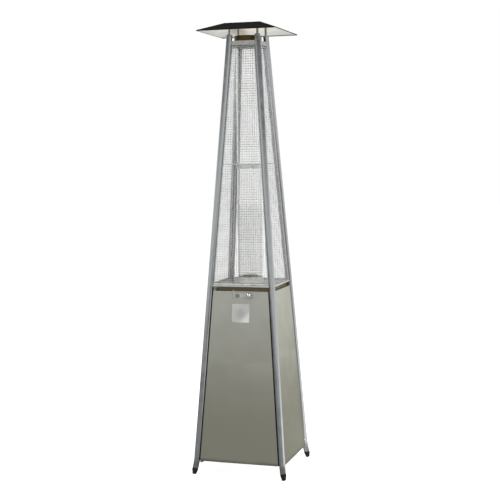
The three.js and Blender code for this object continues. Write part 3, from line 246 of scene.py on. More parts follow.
def heatproof_enamel():
    """Matt black heatproof enamel sprayed on pressed steel. It gives the eye a deep soft black with a
    fine orange peel and a veil of dust."""
    material, tree, shader, place = new_material("matt_black_heatproof_enamel", Specular_IOR_Level=0.12)
    peel = add(tree, "TexNoise", "Fac", {"Vector": place, "Scale": 1 / (2.2 * MM), "Detail": 2})
    dust = add(tree, "TexNoise", "Fac", {"Vector": place, "Scale": 1 / (60 * MM), "Detail": 5})
    tone = add(tree, "Mix", 2, {0: dust, 6: colour("#050505"), 7: colour("#131312")}, data_type="RGBA")
    sheen = add(tree, "MapRange", "Result", {"Value": dust, "From Min": 0.3, "From Max": 0.7,
                                             "To Min": 0.58, "To Max": 0.72})
    normal = add(tree, "Bump", "Normal", {"Height": peel, "Strength": 0.2, "Distance": 0.08 * MM})
    link(tree, shader, Base_Color=tone, Roughness=sheen, Normal=normal)
    return material


def aluminised_underside():
    """Bare aluminised steel, tinted where the hot gas spreads under it. It gives the eye a pale satin
    that turns to straw round the tube, with a brown stain where the flame leans."""
    material, tree, shader, place = new_material("aluminised_steel", Metallic=1)
    cloud = add(tree, "TexNoise", "Fac", {"Vector": place, "Scale": 1 / (40 * MM), "Detail": 4})
    flat = add(tree, "VectorMath", "Vector", {0: place, 1: (1, 1, 0)}, operation="MULTIPLY")
    away = add(tree, "VectorMath", "Value", {0: flat}, operation="LENGTH")
    away = add(tree, "Math", 0, {0: cloud, 1: 40 * MM, 2: away}, operation="MULTIPLY_ADD")
    straw = add(tree, "MapRange", "Result", {"Value": away, "From Min": 210 * MM, "From Max": 120 * MM})
    stain = (-92 * MM, 140 * MM, 0)
    near = add(tree, "VectorMath", "Value", {0: flat, 1: stain}, operation="DISTANCE")
    near = add(tree, "Math", 0, {0: cloud, 1: 20 * MM, 2: near}, operation="MULTIPLY_ADD")
    brown = add(tree, "MapRange", "Result", {"Value": near, "From Min": 75 * MM, "From Max": 25 * MM,
                                             "To Max": 0.75}, interpolation_type="SMOOTHSTEP")
    tone = add(tree, "Mix", 2, {0: straw, 6: colour("#cfcfcc"), 7: colour("#f4efdd")}, data_type="RGBA")
    tone = add(tree, "Mix", 2, {0: brown, 6: tone, 7: colour("#a0927a")}, data_type="RGBA")
    sheen = add(tree, "MapRange", "Result", {"Value": cloud, "From Min": 0.3, "From Max": 0.7,
                                             "To Min": 0.34, "To Max": 0.5})
    link(tree, shader, Base_Color=tone, Roughness=sheen)
    return material


def heat_tint_and_shade_steel(name, pale, dark, soot, crust):
    """Stainless steel that runs hot. It gives the eye bronze and straw clouds, under a slate-brown
    scale where it runs hottest. In dark tones it is also painted shade, for the slot under the deck."""
    material, tree, shader, place = new_material(name, Metallic=1)
    cloud = add(tree, "TexNoise", "Fac", {"Vector": place, "Scale": 1 / (16 * MM), "Detail": 5})
    scale = add(tree, "TexNoise", "Fac", {"Vector": place, "Scale": 1 / (1.4 * MM), "Detail": 3})
    tone = add(tree, "Mix", 2, {0: cloud, 6: colour(dark), 7: colour(pale)}, data_type="RGBA")
    flakes = add(tree, "MapRange", "Result", {"Value": scale, "From Min": 0.4, "From Max": 0.7,
                                              "To Max": crust})
    tone = add(tree, "Mix", 2, {0: flakes, 6: tone, 7: colour(soot)}, data_type="RGBA")
    sheen = add(tree, "MapRange", "Result", {"Value": cloud, "From Min": 0.3, "From Max": 0.7,
                                             "To Min": 0.36, "To Max": 0.55})
    normal = add(tree, "Bump", "Normal", {"Height": scale, "Strength": 0.15, "Distance": 0.05 * MM})
    link(tree, shader, Base_Color=tone, Roughness=sheen, Normal=normal)
    return material


def tube_glass():
    """Drawn borosilicate tube. It gives the eye clear walls with pale grey edges, slow waves along
    their length and a trace of soot haze."""
    material, tree, shader, place = new_material("borosilicate_glass", IOR=1.47, Transmission_Weight=1)
    haze = add(tree, "TexNoise", "Fac", {"Vector": place, "Scale": 1 / (70 * MM), "Detail": 4})
    along = add(tree, "Mapping", "Vector", {"Vector": place, "Scale": (1, 1, 1 / 6)})
    waves = add(tree, "TexNoise", "Fac", {"Vector": along, "Scale": 1 / (30 * MM), "Detail": 2})
    tone = add(tree, "Mix", 2, {0: haze, 6: colour("#f5f6f5"), 7: colour("#fdfdfd")}, data_type="RGBA")
    sheen = add(tree, "MapRange", "Result", {"Value": haze, "From Min": 0.4, "From Max": 0.7, "To Max": 0.06})
    normal = add(tree, "Bump", "Normal", {"Height": waves, "Strength": 0.1, "Distance": 0.2 * MM})
    link(tree, shader, Base_Color=tone, Roughness=sheen, Normal=normal)
    return material


def moulded_rubber():
    """Moulded rubber, filled with carbon black. It gives the eye a matt near black, greyed by dust
    and scuffs."""
    material, tree, shader, place = new_material("moulded_black_rubber", Specular_IOR_Level=0.3)
    dust = add(tree, "TexNoise", "Fac", {"Vector": place, "Scale": 1 / (9 * MM), "Detail": 5})
    grain = add(tree, "TexNoise", "Fac", {"Vector": place, "Scale": 1 / (0.7 * MM), "Detail": 3})
    tone = add(tree, "Mix", 2, {0: dust, 6: colour("#0f0f0f"), 7: colour("#242322")}, data_type="RGBA")
    sheen = add(tree, "MapRange", "Result", {"Value": dust, "From Min": 0.3, "From Max": 0.7,
                                             "To Min": 0.6, "To Max": 0.85})
    normal = add(tree, "Bump", "Normal", {"Height": grain, "Strength": 0.25, "Distance": 0.08 * MM})
    link(tree, shader, Base_Color=tone, Roughness=sheen, Normal=normal)
    return material


def bare_metal(name, pale, dull, rough, lump):
    """A turned, drawn or cast metal left bare. It gives the eye its own colour under patches of
    tarnish, with fine tool marks."""
    material, tree, shader, place = new_material(name, Metallic=1)
    tarnish = add(tree, "TexNoise", "Fac", {"Vector": place, "Scale": 1 / lump, "Detail": 4})
    marks = add(tree, "TexNoise", "Fac", {"Vector": place, "Scale": 1 / (0.5 * MM), "Detail": 2})
    tone = add(tree, "Mix", 2, {0: tarnish, 6: colour(dull), 7: colour(pale)}, data_type="RGBA")
    sheen = add(tree, "MapRange", "Result", {"Value": tarnish, "From Min": 0.3, "From Max": 0.7,
                                             "To Min": rough[1], "To Max": rough[0]})
    normal = add(tree, "Bump", "Normal", {"Height": marks, "Strength": 0.1, "Distance": 0.04 * MM})
    link(tree, shader, Base_Color=tone, Roughness=sheen, Normal=normal)
    return material


def moulded_nylon():
    """Black nylon from a spark-eroded mould. It gives the eye a satin black with a fine even grain."""
    material, tree, shader, place = new_material("moulded_black_nylon", IOR=1.53)
    grain = add(tree, "TexNoise", "Fac", {"Vector": place, "Scale": 1 / (0.5 * MM), "Detail": 2})
    wear = add(tree, "TexNoise", "Fac", {"Vector": place, "Scale": 1 / (12 * MM), "Detail": 3})
    tone = add(tree, "Mix", 2, {0: wear, 6: colour("#141517"), 7: colour("#25262a")}, data_type="RGBA")
    sheen = add(tree, "MapRange", "Result", {"Value": wear, "From Min": 0.3, "From Max": 0.7,
                                             "To Min": 0.4, "To Max": 0.58})
    normal = add(tree, "Bump", "Normal", {"Height": grain, "Strength": 0.3, "Distance": 0.05 * MM})
    link(tree, shader, Base_Color=tone, Roughness=sheen, Normal=normal)
    return material


def glazed_alumina():
    """Glazed alumina insulator. It gives the eye a warm glossy white with faint grey clouds."""
    material, tree, shader, place = new_material("glazed_alumina", IOR=1.5)
    cloud = add(tree, "TexNoise", "Fac", {"Vector": place, "Scale": 1 / (6 * MM), "Detail": 4})
    tone = add(tree, "Mix", 2, {0: cloud, 6: colour("#d3ccbc"), 7: colour("#f0ebe0")}, data_type="RGBA")
    sheen = add(tree, "MapRange", "Result", {"Value": cloud, "From Min": 0.3, "From Max": 0.7,
                                             "To Min": 0.15, "To Max": 0.3})
    link(tree, shader, Base_Color=tone, Roughness=sheen)
    return material


def label_foil():
    """Bare satin label foil. It gives the eye a pale flat grey with a soft milled sheen, rubbed duller
    in the middle and brighter towards the lower right corner."""
    material, tree, shader, place = new_material("satin_aluminium_foil", Metallic=0.4)
    cloud = add(tree, "TexNoise", "Fac", {"Vector": place, "Scale": 1 / (30 * MM), "Detail": 4})
    mill = add(tree, "Mapping", "Vector", {"Vector": place, "Scale": (1 / 80, 1, 1)})
    lines = add(tree, "TexNoise", "Fac", {"Vector": mill, "Scale": 1 / (0.8 * MM), "Detail": 2})
    tone = add(tree, "Mix", 2, {0: cloud, 6: colour("#babcb9"), 7: colour("#cbcdca")}, data_type="RGBA")
    middle = add(tree, "VectorMath", "Vector", {0: place, 1: LABEL_MIDDLE}, operation="SUBTRACT")
    away = add(tree, "VectorMath", "Value", {0: middle}, operation="LENGTH")
    away = add(tree, "Math", 0, {0: cloud, 1: 14 * MM, 2: away}, operation="MULTIPLY_ADD")
    rubbed = add(tree, "MapRange", "Result", {"Value": away, "From Min": 46 * MM, "From Max": 12 * MM,
                                              "To Max": 0.7}, interpolation_type="SMOOTHSTEP")
    tone = add(tree, "Mix", 2, {0: rubbed, 6: tone, 7: colour("#a9aba7")}, data_type="RGBA")
    corner = add(tree, "VectorMath", "Value", {0: middle, 1: (0.7, 0, -0.7)}, operation="DOT_PRODUCT")
    bright = add(tree, "MapRange", "Result", {"Value": corner, "From Min": 12 * MM, "From Max": 48 * MM},
                 interpolation_type="SMOOTHSTEP")
    tone = add(tree, "Mix", 2, {0: bright, 6: tone, 7: colour("#e2e4e1")}, data_type="RGBA")
    sheen = add(tree, "MapRange", "Result", {"Value": cloud, "From Min": 0.3, "From Max": 0.7,
                                             "To Min": 0.38, "To Max": 0.5})
    normal = add(tree, "Bump", "Normal", {"Height": lines, "Strength": 0.08, "Distance": 0.03 * MM})
    link(tree, shader, Base_Color=tone, Roughness=sheen, Normal=normal)
    return material


# One steel in two tones, as lit and shaded copies: the door is painted paler, and the sides are painted darker
# towards the ground
DOOR_STEEL = panel_steel_painted_shade_below("brushed_stainless_door", "#dbdcd2", "#d0d1c6", "#b0b0a1", 1.0)
SIDE_STEEL = panel_steel_painted_shade_below("brushed_stainless_side", "#c4c5b7", "#b7b8a9", "#6a6956", 0.9)
DECK_STEEL = brushed_stainless("brushed_stainless_deck", "#dddedb", "#c6c7c0", (0.16, 0.26), (1 / 200, 1, 1))
SATIN_STEEL = blasted_stainless("bead_blasted_stainless", "#e9eae6", "#d6d7d2")
PLATE_STEEL = blasted_stainless("acid_dulled_stainless", "#b9bab6", "#a9aaa5")
TRIM_STEEL = brushed_stainless("brushed_stainless_trim", "#c2c3bc", "#a9aaa1", (0.24, 0.36), (1 / 200, 1, 1))
POST_STEEL = polished_tube()
WIRE = plated_wire()
CHROME = bright_chrome()
ENAMEL = heatproof_enamel()
UNDERSIDE = aluminised_underside()
HEATED = heat_tint_and_shade_steel("heat_scaled_stainless", "#7f6c42", "#544730", "#34322f", 0.4)
STRAW = heat_tint_and_shade_steel("straw_tinted_stainless", "#bdb9a8", "#a6a296", "#8a867a", 0.25)
# Painted shade: a dark brown for the shadowed slot between the deck and the panels
SLOT_SHADE_STEEL = heat_tint_and_shade_steel("stainless_painted_slot_shade", "#8d8468", "#746b53", "#4a4538", 0.4)
GLASS = tube_glass()
RUBBER = moulded_rubber()
BRASS = bare_metal("machined_brass", "#c9ab68", "#9c8148", (0.2, 0.38), 5 * MM)
COPPER = bare_metal("drawn_copper", "#bd7650", "#8f543a", (0.24, 0.45), 12 * MM)
NICKEL = bare_metal("satin_nickel_plate", "#b3b2ac", "#97968f", (0.36, 0.5), 4 * MM)
ALLOY = bare_metal("die_cast_zinc_alloy", "#a9abad", "#8d9092", (0.42, 0.6), 8 * MM)
NYLON = moulded_nylon()
CERAMIC = glazed_alumina()
FOIL = label_foil()


# Modelling steps
def select_only(obj):
    bpy.ops.object.select_all(action="DESELECT")
    obj.select_set(True)
    bpy.context.view_layer.objects.active = obj


def begin_ring(radius, sides, place=(0, 0, 0), along=(0, 0, 1)):
    """A circle of vertices square to a direction, in edit mode and selected."""
    bpy.ops.object.select_all(action="DESELECT")
    turn = Vector(along).to_track_quat("Z", "Y").to_euler()
    bpy.ops.mesh.primitive_circle_add(vertices=sides, radius=radius, location=place, rotation=turn)
    bpy.ops.object.mode_set(mode="EDIT")
    bpy.ops.mesh.select_all(action="SELECT")


def extrude(move, scale=1.0):
    """Extrudes the selected ring by a move and scales it about its own middle."""
    bpy.ops.mesh.extrude_region_move(TRANSFORM_OT_translate={"value": move})
    if scale != 1:
        bpy.ops.transform.resize(value=(scale, scale, 1))


def turn_profile(profile, sides, closed=True):
    """A turned shape about Z from (radius, height) points. A closed profile is the section of a
    ring, and an open one is a solid that gets a flat end at each end."""
    radius, height = profile[0]
    begin_ring(radius, sides, (0, 0, height))
    if not closed:
        bpy.ops.mesh.edge_face_add()
        bpy.ops.mesh.select_all(action="SELECT")
    path = profile[1:] + (profile[:1] if closed else [])
    for after, level in path:
        extrude((0, 0, level - height), after / radius)
        radius, height = after, level
    bpy.ops.mesh.select_all(action="SELECT")
    bpy.ops.mesh.remove_doubles(threshold=0.01 * MM)
    bpy.ops.mesh.normals_make_consistent(inside=False)
    bpy.ops.object.mode_set(mode="OBJECT")


def apply_modifier(kind, **settings):
    """Adds a modifier to the active object and applies it."""
    modifier = bpy.context.object.modifiers.new(kind.title(), kind)
    for key, value in settings.items():
        setattr(modifier, key, value)
    bpy.ops.object.modifier_apply(modifier=modifier.name)


def soften(width, segments=2, angle=30):
    """Rounds the active object's sharp edges."""
    apply_modifier("BEVEL", width=width, segments=segments, limit_method="ANGLE",
                   angle_limit=math.radians(angle), use_clamp_overlap=True)


def finish(name, body, material, nodes=(), angle=35, matrix=None):
    """Puts the active object in place, shades it and gives it its finish and its body."""
    obj = bpy.context.object
    if matrix is not None:
        obj.matrix_world = matrix @ obj.matrix_world
    bpy.ops.object.transform_apply(location=True, rotation=True, scale=True)
    bpy.ops.object.shade_smooth_by_angle(angle=math.radians(angle))
    apply_modifier("WEIGHTED_NORMAL", keep_sharp=True)
    obj.name = name
    obj.data.name = name
    obj.data.materials.clear()
    obj.data.materials.append(material)
    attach(obj, body)
    if nodes:
        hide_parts(*nodes)
    return obj


def copy_node(node):
    """A copy of a CAD node's mesh, with its triangles merged back to flat faces, made active."""
    obj = bpy.data.objects.new(node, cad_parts[node].data.copy())
    bpy.context.scene.collection.objects.link(obj)
    select_only(obj)
    bpy.ops.mesh.customdata_custom_splitnormals_clear()
    bpy.ops.object.mode_set(mode="EDIT")
    bpy.ops.mesh.select_all(action="SELECT")
    bpy.ops.mesh.remove_doubles(threshold=0.01 * MM)
    bpy.ops.mesh.dissolve_limited(angle_limit=math.radians(0.5))
    bpy.ops.object.mode_set(mode="OBJECT")


def dressed(node, body, material, width=0.35 * MM, segments=2, angle=30):
    """A CAD node's own shape with its sharp edges rounded, in place of the node."""
    copy_node(node)
    soften(width, segments, angle)
    return finish(node + "_finished", body, material, [node], angle)


def put(matrix):
    """Moves the active object, and keeps its new place in its mesh."""
    obj = bpy.context.object
    obj.matrix_world = matrix @ obj.matrix_world
    bpy.ops.object.transform_apply(location=True, rotation=True, scale=True)
    return obj


def edit_faces(test):
    """Enters edit mode with the active object's faces that pass a test selected."""
    mesh = bpy.context.object.data
    for parts in (mesh.vertices, mesh.edges, mesh.polygons):
        parts.foreach_set("select", [False] * len(parts))
    for face in mesh.polygons:
        face.select = test(face)
    bpy.context.tool_settings.mesh_select_mode = (False, False, True)
    bpy.ops.object.mode_set(mode="EDIT")


def leave_edit():
    bpy.ops.object.mode_set(mode="OBJECT")
    bpy.context.tool_settings.mesh_select_mode = (True, False, False)


def join_onto(first, *others):
    """Joins other objects into the first and makes it active."""
    select_only(first)
    for other in others:
        other.select_set(True)
    bpy.ops.object.join()


# Posts and feet: the legs flare outwards below the housing, and each post has a joint at the deck
FLARE_TO = 50 * MM
FLARE_FROM = 90 * MM
FLARE_SLOPE = 0.1
FLARE_RINGS = 6
FOOT_HEIGHT = 34 * MM
SPIGOT_REACH = 40 * MM


def post_point(corner, z):
    """The middle of a post at a height, with the legs' flare."""
    bend = FLARE_FROM - FLARE_TO
    out = spread(z)
    if z < FLARE_TO:
        out += FLARE_SLOPE * (bend / 2 + FLARE_TO - z)
    elif z < FLARE_FROM:
        out += FLARE_SLOPE * (FLARE_FROM - z) ** 2 / (2 * bend)
    x, y = CORNERS[corner]
    return Vector((x * out, y * out, z))


def foot_frame(corner):
    """A foot's place on the floor and the direction of its leg."""
    floor = post_point(corner, 0)
    return floor, (post_point(corner, FLARE_TO) - floor).normalized()


def tube_through(points, radius):
    """A length of tube through some points, its wall inwards."""
    begin_ring(radius, ROUND_SIDES, points[0], points[-1] - points[-2])
    for before, after in zip(points, points[1:]):
        extrude(after - before)
    bpy.ops.mesh.select_all(action="SELECT")
    bpy.ops.mesh.normals_make_consistent(inside=False)
    bpy.ops.object.mode_set(mode="OBJECT")
    apply_modifier("SOLIDIFY", thickness=POST_WALL, offset=-1)
    soften(0.4 * MM, 3, 50)
    return bpy.context.object


def posts():
    for corner in CORNERS:
        floor, up = foot_frame(corner)
        bend = [FLARE_TO + (FLARE_FROM - FLARE_TO) * i / FLARE_RINGS for i in range(FLARE_RINGS + 1)]
        leg = [floor + up * FOOT_HEIGHT] + [post_point(corner, z) for z in bend]
        tube_through(leg + [post_point(corner, POST_JOINT)], POST_RADIUS)
        finish(f"lower_tube_{corner}", "frame", POST_STEEL, [f"lower_post_{corner}"])

        ends = [post_point(corner, POST_JOINT - SPIGOT_REACH), post_point(corner, POST_JOINT + SPIGOT_REACH)]
        spigot = tube_through(ends, POST_RADIUS - POST_WALL - FIT)
        ends = [post_point(corner, POST_JOINT + FIT), post_point(corner, POST_TOP)]
        join_onto(tube_through(ends, POST_RADIUS), spigot)
        finish(f"upper_tube_{corner}", "frame", POST_STEEL, [f"upper_post_{corner}"])


# A moulded tip with a rounded sole, which swells to the tube's width, and a plug inside it
FOOT_PROFILE = [
    (6, 0), (8.4, 0.5), (10, 1.8), (10.8, 3.8), (11.2, 7), (11.8, 11), (13, 15), (14.4, 18.6), (15, 21.6),
    (15, 32.6), (14.5, 33.4), (13.2, 33.7), (13.2, 51), (12.4, 51.7),
]


def feet():
    for corner in CORNERS:
        floor, up = foot_frame(corner)
        lift = max(radius * math.hypot(up.x, up.y) - height * up.z for radius, height in FOOT_PROFILE) * MM
        turn_profile([(radius * MM, height * MM) for radius, height in FOOT_PROFILE], ROUND_SIDES, closed=False)
        seat = Matrix.Translation(floor + Vector((0, 0, lift))) @ up.to_track_quat("Z", "Y").to_matrix().to_4x4()
        finish(f"rubber_foot_{corner}", "frame", RUBBER, [f"foot_{corner}"], 50, seat)


# Sheet metal
def housing():
    for node in ("right_panel", "rear_panel", "left_panel"):
        dressed(node, "frame", SIDE_STEEL, 0.5 * MM, 3)
    dressed("door", "door", DOOR_STEEL, 0.5 * MM, 3)
    deck = dressed("deck_tray", "frame", DECK_STEEL, 0.5 * MM, 3)
    # The skirt below the deck's lip takes the painted shade of the slot under the deck
    deck.data.materials.append(SLOT_SHADE_STEEL)
    for face in deck.data.polygons:
        if face.center.z < DECK_TOP - DECK_LIP - 0.5 * MM:
            face.material_index = 1
    dressed("cylinder_shelf", "frame", DECK_STEEL, 0.5 * MM, 2)
    dressed("control_fascia", "frame", DOOR_STEEL, 0.4 * MM, 2)
    dressed("control_box", "frame", TRIM_STEEL, 0.3 * MM, 2)
    dressed("label_plate", "door", FOIL, 0.15 * MM, 2)
    for node in ("door_bracket_lower", "door_bracket_upper"):
        dressed(node, "frame", TRIM_STEEL, 0.4 * MM, 2)
    dressed("door_striker", "door", TRIM_STEEL, 0.3 * MM, 2)
    dressed("door_magnet", "frame", NYLON, 0.6 * MM, 3)


def top_plate():
    dressed("top_plate", "frame", SATIN_STEEL, 0.5 * MM, 3)


PRESS_DEPTH = 1.5 * MM
PRESS_RIM = 16 * MM
LARGE_FACE = 0.002  # square metres


def reflector():
    """The pressed dish: a stiffening panel is pressed into the crown and into each slope, through both
    faces of the sheet. Enamel outside, bare metal inside and on the hem."""
    copy_node("reflector")
    for rim, depth in ((PRESS_RIM, -PRESS_DEPTH), (PRESS_RIM - 1 * MM, PRESS_DEPTH)):
        edit_faces(lambda face: abs(face.normal.z) > 0.7 and (face.normal.z > 0) == (depth < 0)
                   and face.area > LARGE_FACE)
        bpy.ops.mesh.inset(thickness=rim, depth=depth, use_individual=True)
        leave_edit()
    soften(0.5 * MM, 3, 20)
    dish = finish("reflector_finished", "frame", ENAMEL, ["reflector"], 20)
    dish.data.materials.append(UNDERSIDE)
    for face in dish.data.polygons:
        inward = face.normal.x * face.center.x + face.normal.y * face.center.y < 0
        hem = abs(face.normal.z) < 0.2 and face.center.z < REFLECTOR_RIM
        if (face.normal.z < -0.2 and face.center.z < TOTAL_HEIGHT - SHEET / 2) or hem or (
                inward and abs(face.normal.z) < 0.2):
            face.material_index = 1


# Turned parts on the axis
def seat_and_glass():
    """The flanged seat, the two lengths of glass, the ring between them and the dark collar."""
    base, flange, rest = DECK_TOP + FIT, DECK_TOP + FIT + 3 * MM, GLASS_FOOT - FIT
    turn_profile([(52 * MM, base), (72 * MM, base), (72 * MM, flange), (66 * MM, flange),
                  (66 * MM, SEAT_TOP), (63 * MM, SEAT_TOP), (63 * MM, rest), (52 * MM, rest)], GLASS_SIDES)
    soften(0.6 * MM, 3, 40)
    finish("glass_seat", "frame", SATIN_STEEL, ["tube_seat"])
    bore = GLASS_RADIUS - GLASS_WALL
    web, sleeve = 2 * MM, 11 * MM
    for name, low, high in (("lower", GLASS_FOOT, GLASS_JOINT - web - FIT),
                            ("upper", GLASS_JOINT + web + FIT, GLASS_TOP)):
        turn_profile([(bore, low), (GLASS_RADIUS, low), (GLASS_RADIUS, high), (bore, high)], GLASS_SIDES)
        soften(1 * MM, 3, 40)
        finish(f"{name}_glass", "frame", GLASS, [f"glass_tube_{name}"], 50)
    half = [(bore, web), (63 * MM, web), (63 * MM, sleeve), (65.5 * MM, sleeve)]
    turn_profile([(radius, GLASS_JOINT - rise) for radius, rise in half]
                 + [(radius, GLASS_JOINT + rise) for radius, rise in reversed(half)], GLASS_SIDES)
    soften(0.6 * MM, 3, 40)
    finish("glass_joint_ring", "frame", SATIN_STEEL, ["tube_mid_ring"])
    foot = TOP_PLATE_TOP + FIT
    turn_profile([(58 * MM, foot), (69 * MM, foot), (69 * MM, COLLAR_TOP), (67.8 * MM, COLLAR_TOP),
                  (67.8 * MM, foot + SHEET), (58 * MM, foot + SHEET)], GLASS_SIDES)
    soften(0.4 * MM, 2, 40)
    finish("flame_collar_ring", "frame", HEATED, ["flame_collar"])


def controls():
    """The knob, the igniter's bezel and button, all turned about the face's inward axis."""
    front = face_matrix(0) @ Matrix.Translation((0, 0, row_at(CONTROL_MIDDLE)))
    inward = Matrix.Rotation(-math.pi / 2, 4, "X")
    knob = front @ Matrix.Translation((KNOB_PLACE, 0, 0)) @ inward
    button = front @ Matrix.Translation((IGNITER_PLACE, 0, 0)) @ inward
    turn_profile([(3 * MM, -25.7 * MM), (6 * MM, -25.2 * MM), (9 * MM, -24.1 * MM), (11.4 * MM, -22.4 * MM),
                  (13.2 * MM, -19.8 * MM), (14 * MM, -16.6 * MM), (14 * MM, -12.4 * MM),
                  (13.6 * MM, -10.7 * MM), (5 * MM, -10.7 * MM)], KNOB_SIDES, closed=False)
    index_groove(knob)
    turn_profile([(7.3 * MM, -8 * MM), (9.6 * MM, -8 * MM), (10.4 * MM, -7.4 * MM), (10.4 * MM, -6.7 * MM),
                  (9 * MM, -6.7 * MM), (9 * MM, 40 * MM), (3 * MM, 40 * MM), (3 * MM, 28 * MM),
                  (7.3 * MM, 28 * MM)], ROUND_SIDES)
    finish("igniter_bezel", "frame", NICKEL, ["igniter_barrel"], 30, button)
    turn_profile([(6 * MM, -13.3 * MM), (6.7 * MM, -13 * MM), (7 * MM, -12.3 * MM), (7 * MM, 8 * MM)],
                 ROUND_SIDES, closed=False)
    finish("igniter_push_button", "igniter_button", NICKEL, ["igniter_button"], 30, button)
    igniter_plate()


# The groove runs between two radii of the dome, and the saw is tilted to the chord between them
GROOVE_WIDTH = 1.8 * MM
GROOVE_FROM = 5 * MM
GROOVE_TO = 13.6 * MM
SAW_TILT = -0.672


def index_groove(place):
    """Saws a straight groove into the knob's dome, up the face in the off position, fills it with
    black and finishes the knob."""
    dome = bpy.context.object
    bpy.ops.object.select_all(action="DESELECT")
    bpy.ops.mesh.primitive_cube_add(size=1, location=(0, -10.2 * MM, -23.1 * MM),
                                    rotation=(SAW_TILT, 0, 0), scale=(GROOVE_WIDTH, 13 * MM, 3 * MM))
    saw = put(Matrix.Identity(4))
    select_only(dome)
    apply_modifier("BOOLEAN", object=saw, operation="DIFFERENCE", solver="EXACT")
    bpy.data.objects.remove(saw)
    knob = finish("chrome_knob", "knob", CHROME, ["control_knob"], 30, place)
    knob.data.materials.append(NYLON)
    for face in knob.data.polygons:
        middle = place.inverted() @ face.center
        if abs(middle.x) < GROOVE_WIDTH / 2 + 0.05 * MM and GROOVE_FROM < -middle.y < GROOVE_TO:
            face.material_index = 1


def igniter_plate():
    """A bare plate with round corners on the fascia, with a hole for the igniter's barrel."""
    turn_profile([(9.2 * MM, -1 * MM), (9.2 * MM, 2 * MM)], ROUND_SIDES, closed=False)
    hole = put(Matrix.Translation((IGNITER_PLACE, 0, 0)))
    middle, width, height, corner, thickness = -9 * MM, 60 * MM, 17 * MM, 4 * MM, 0.6 * MM
    bpy.ops.object.select_all(action="DESELECT")
    bpy.ops.mesh.primitive_plane_add(size=1, location=(middle, 0, 0.05 * MM))
    bpy.ops.object.mode_set(mode="EDIT")
    bpy.ops.mesh.select_all(action="SELECT")
    bpy.ops.transform.resize(value=(width, height, 1))
    bpy.ops.mesh.bevel(offset=corner, segments=5, affect="VERTICES")
    bpy.ops.mesh.select_all(action="SELECT")
    extrude((0, 0, thickness))
    bpy.ops.mesh.select_all(action="SELECT")
    bpy.ops.mesh.normals_make_consistent(inside=False)
    bpy.ops.object.mode_set(mode="OBJECT")
    apply_modifier("BOOLEAN", object=hole, operation="DIFFERENCE", solver="EXACT")
    bpy.data.objects.remove(hole)
    soften(0.15 * MM, 2, 40)
    finish("igniter_plate", "frame", PLATE_STEEL, (), 40,
           on_face(0, 0, -FACE_OUT, CONTROL_MIDDLE))


def standoffs():
    """A plug and cap in each post's top, and a rod up to a nut under the crown."""
    for corner in CORNERS:
        foot = post_point(corner, POST_TOP - 16 * MM)
        top = post_point(corner, POST_TOP)
        turn_profile([(12.6 * MM, 0), (13.2 * MM, 0.6 * MM), (13.2 * MM, 16.4 * MM), (15 * MM, 16.4 * MM),
                      (15 * MM, 17.4 * MM), (14.2 * MM, 18.1 * MM), (6 * MM, 18.1 * MM)], ROUND_SIDES, False)
        plug = put(Matrix.Translation(foot) @ (top - foot).to_track_quat("Z", "Y").to_matrix().to_4x4())
        turn_profile([(6 * MM, POST_TOP), (6 * MM, TOTAL_HEIGHT - SHEET - FIT)], 32, False)
        rod = put(Matrix.Translation((top.x, top.y, 0)))
        turn_profile([(10.5 * MM, 2256 * MM), (10.5 * MM, 2257 * MM), (9 * MM, 2257.4 * MM),
                      (9 * MM, 2264 * MM), (6.5 * MM, 2266 * MM)], 6, False)
        nut = put(Matrix.Translation((top.x, top.y, 0)))
        join_onto(plug, rod, nut)
        finish(f"reflector_rod_{corner}", "frame", POST_STEEL, [f"standoff_{corner}"])


# Screws: one low dome head with a hexagon socket, copied to each place
def screw_head(radius, height):
    turn_profile([(radius, 0), (radius, 0.3 * height), (0.88 * radius, 0.7 * height),
                  (0.55 * radius, height)], 18, closed=False)
    edit_faces(lambda face: face.normal.z > 0.99)
    bpy.ops.mesh.inset(thickness=0.1 * radius)
    bpy.ops.mesh.extrude_region_move(TRANSFORM_OT_translate={"value": (0, 0, -0.5 * height)})
    leave_edit()
    return bpy.context.object


def screws(name, body, places, radius, height):
    """Screw heads at some places, each with its crown towards its own Z."""
    pattern = screw_head(radius, height)
    heads = []
    for matrix in places:
        select_only(pattern)
        bpy.ops.object.duplicate(linked=False)
        heads.append(put(matrix))
    bpy.data.objects.remove(pattern)
    join_onto(*heads)
    finish(name, body, CHROME)


def on_face(quarter, across, depth, z):
    """A place on a face, with Z out of the face."""
    return (face_matrix(quarter) @ Matrix.Translation((across, depth, row_at(z)))
            @ Matrix.Rotation(math.pi / 2, 4, "X"))


PANEL_SCREW_ROWS = (105 * MM, 500 * MM, 895 * MM)
PANEL_GAP = 4.5 * MM
SCREW_INSET = 11 * MM


def fasteners():
    """Screws in the fixed panels, the top plate's flange, the reflector's crown and the fascia."""
    panels = []
    for quarter in (1, 2, 3):
        for z in PANEL_SCREW_ROWS:
            edge = spread(z) - POST_RADIUS - PANEL_GAP - SCREW_INSET
            panels += [on_face(quarter, side * edge, -FACE_OUT, z) for side in (-1, 1)]
    screws("panel_screws", "frame", panels, 3.6 * MM, 2.2 * MM)
    flange = TOP_PLATE_TOP - TOP_PLATE_FLANGE / 2
    upper = [on_face(quarter, across, -FACE_OUT, flange)
             for quarter in range(4) for across in (-40 * MM, 0, 40 * MM)]
    screws("top_plate_screws", "frame", upper, 3.2 * MM, 2 * MM)
    crown = [Matrix.Translation((x * TOP_SPREAD, y * TOP_SPREAD, TOTAL_HEIGHT - 0.2 * MM))
             for x, y in CORNERS.values()]
    screws("crown_screws", "frame", crown, 6 * MM, 2.6 * MM)
    corners = [on_face(0, across, -FACE_OUT + FIT, CONTROL_MIDDLE + rise)
               for across in (-36 * MM, 27 * MM) for rise in (-10.5 * MM, 10.5 * MM)]
    screws("fascia_screws", "frame", corners, 2 * MM, 1.2 * MM)


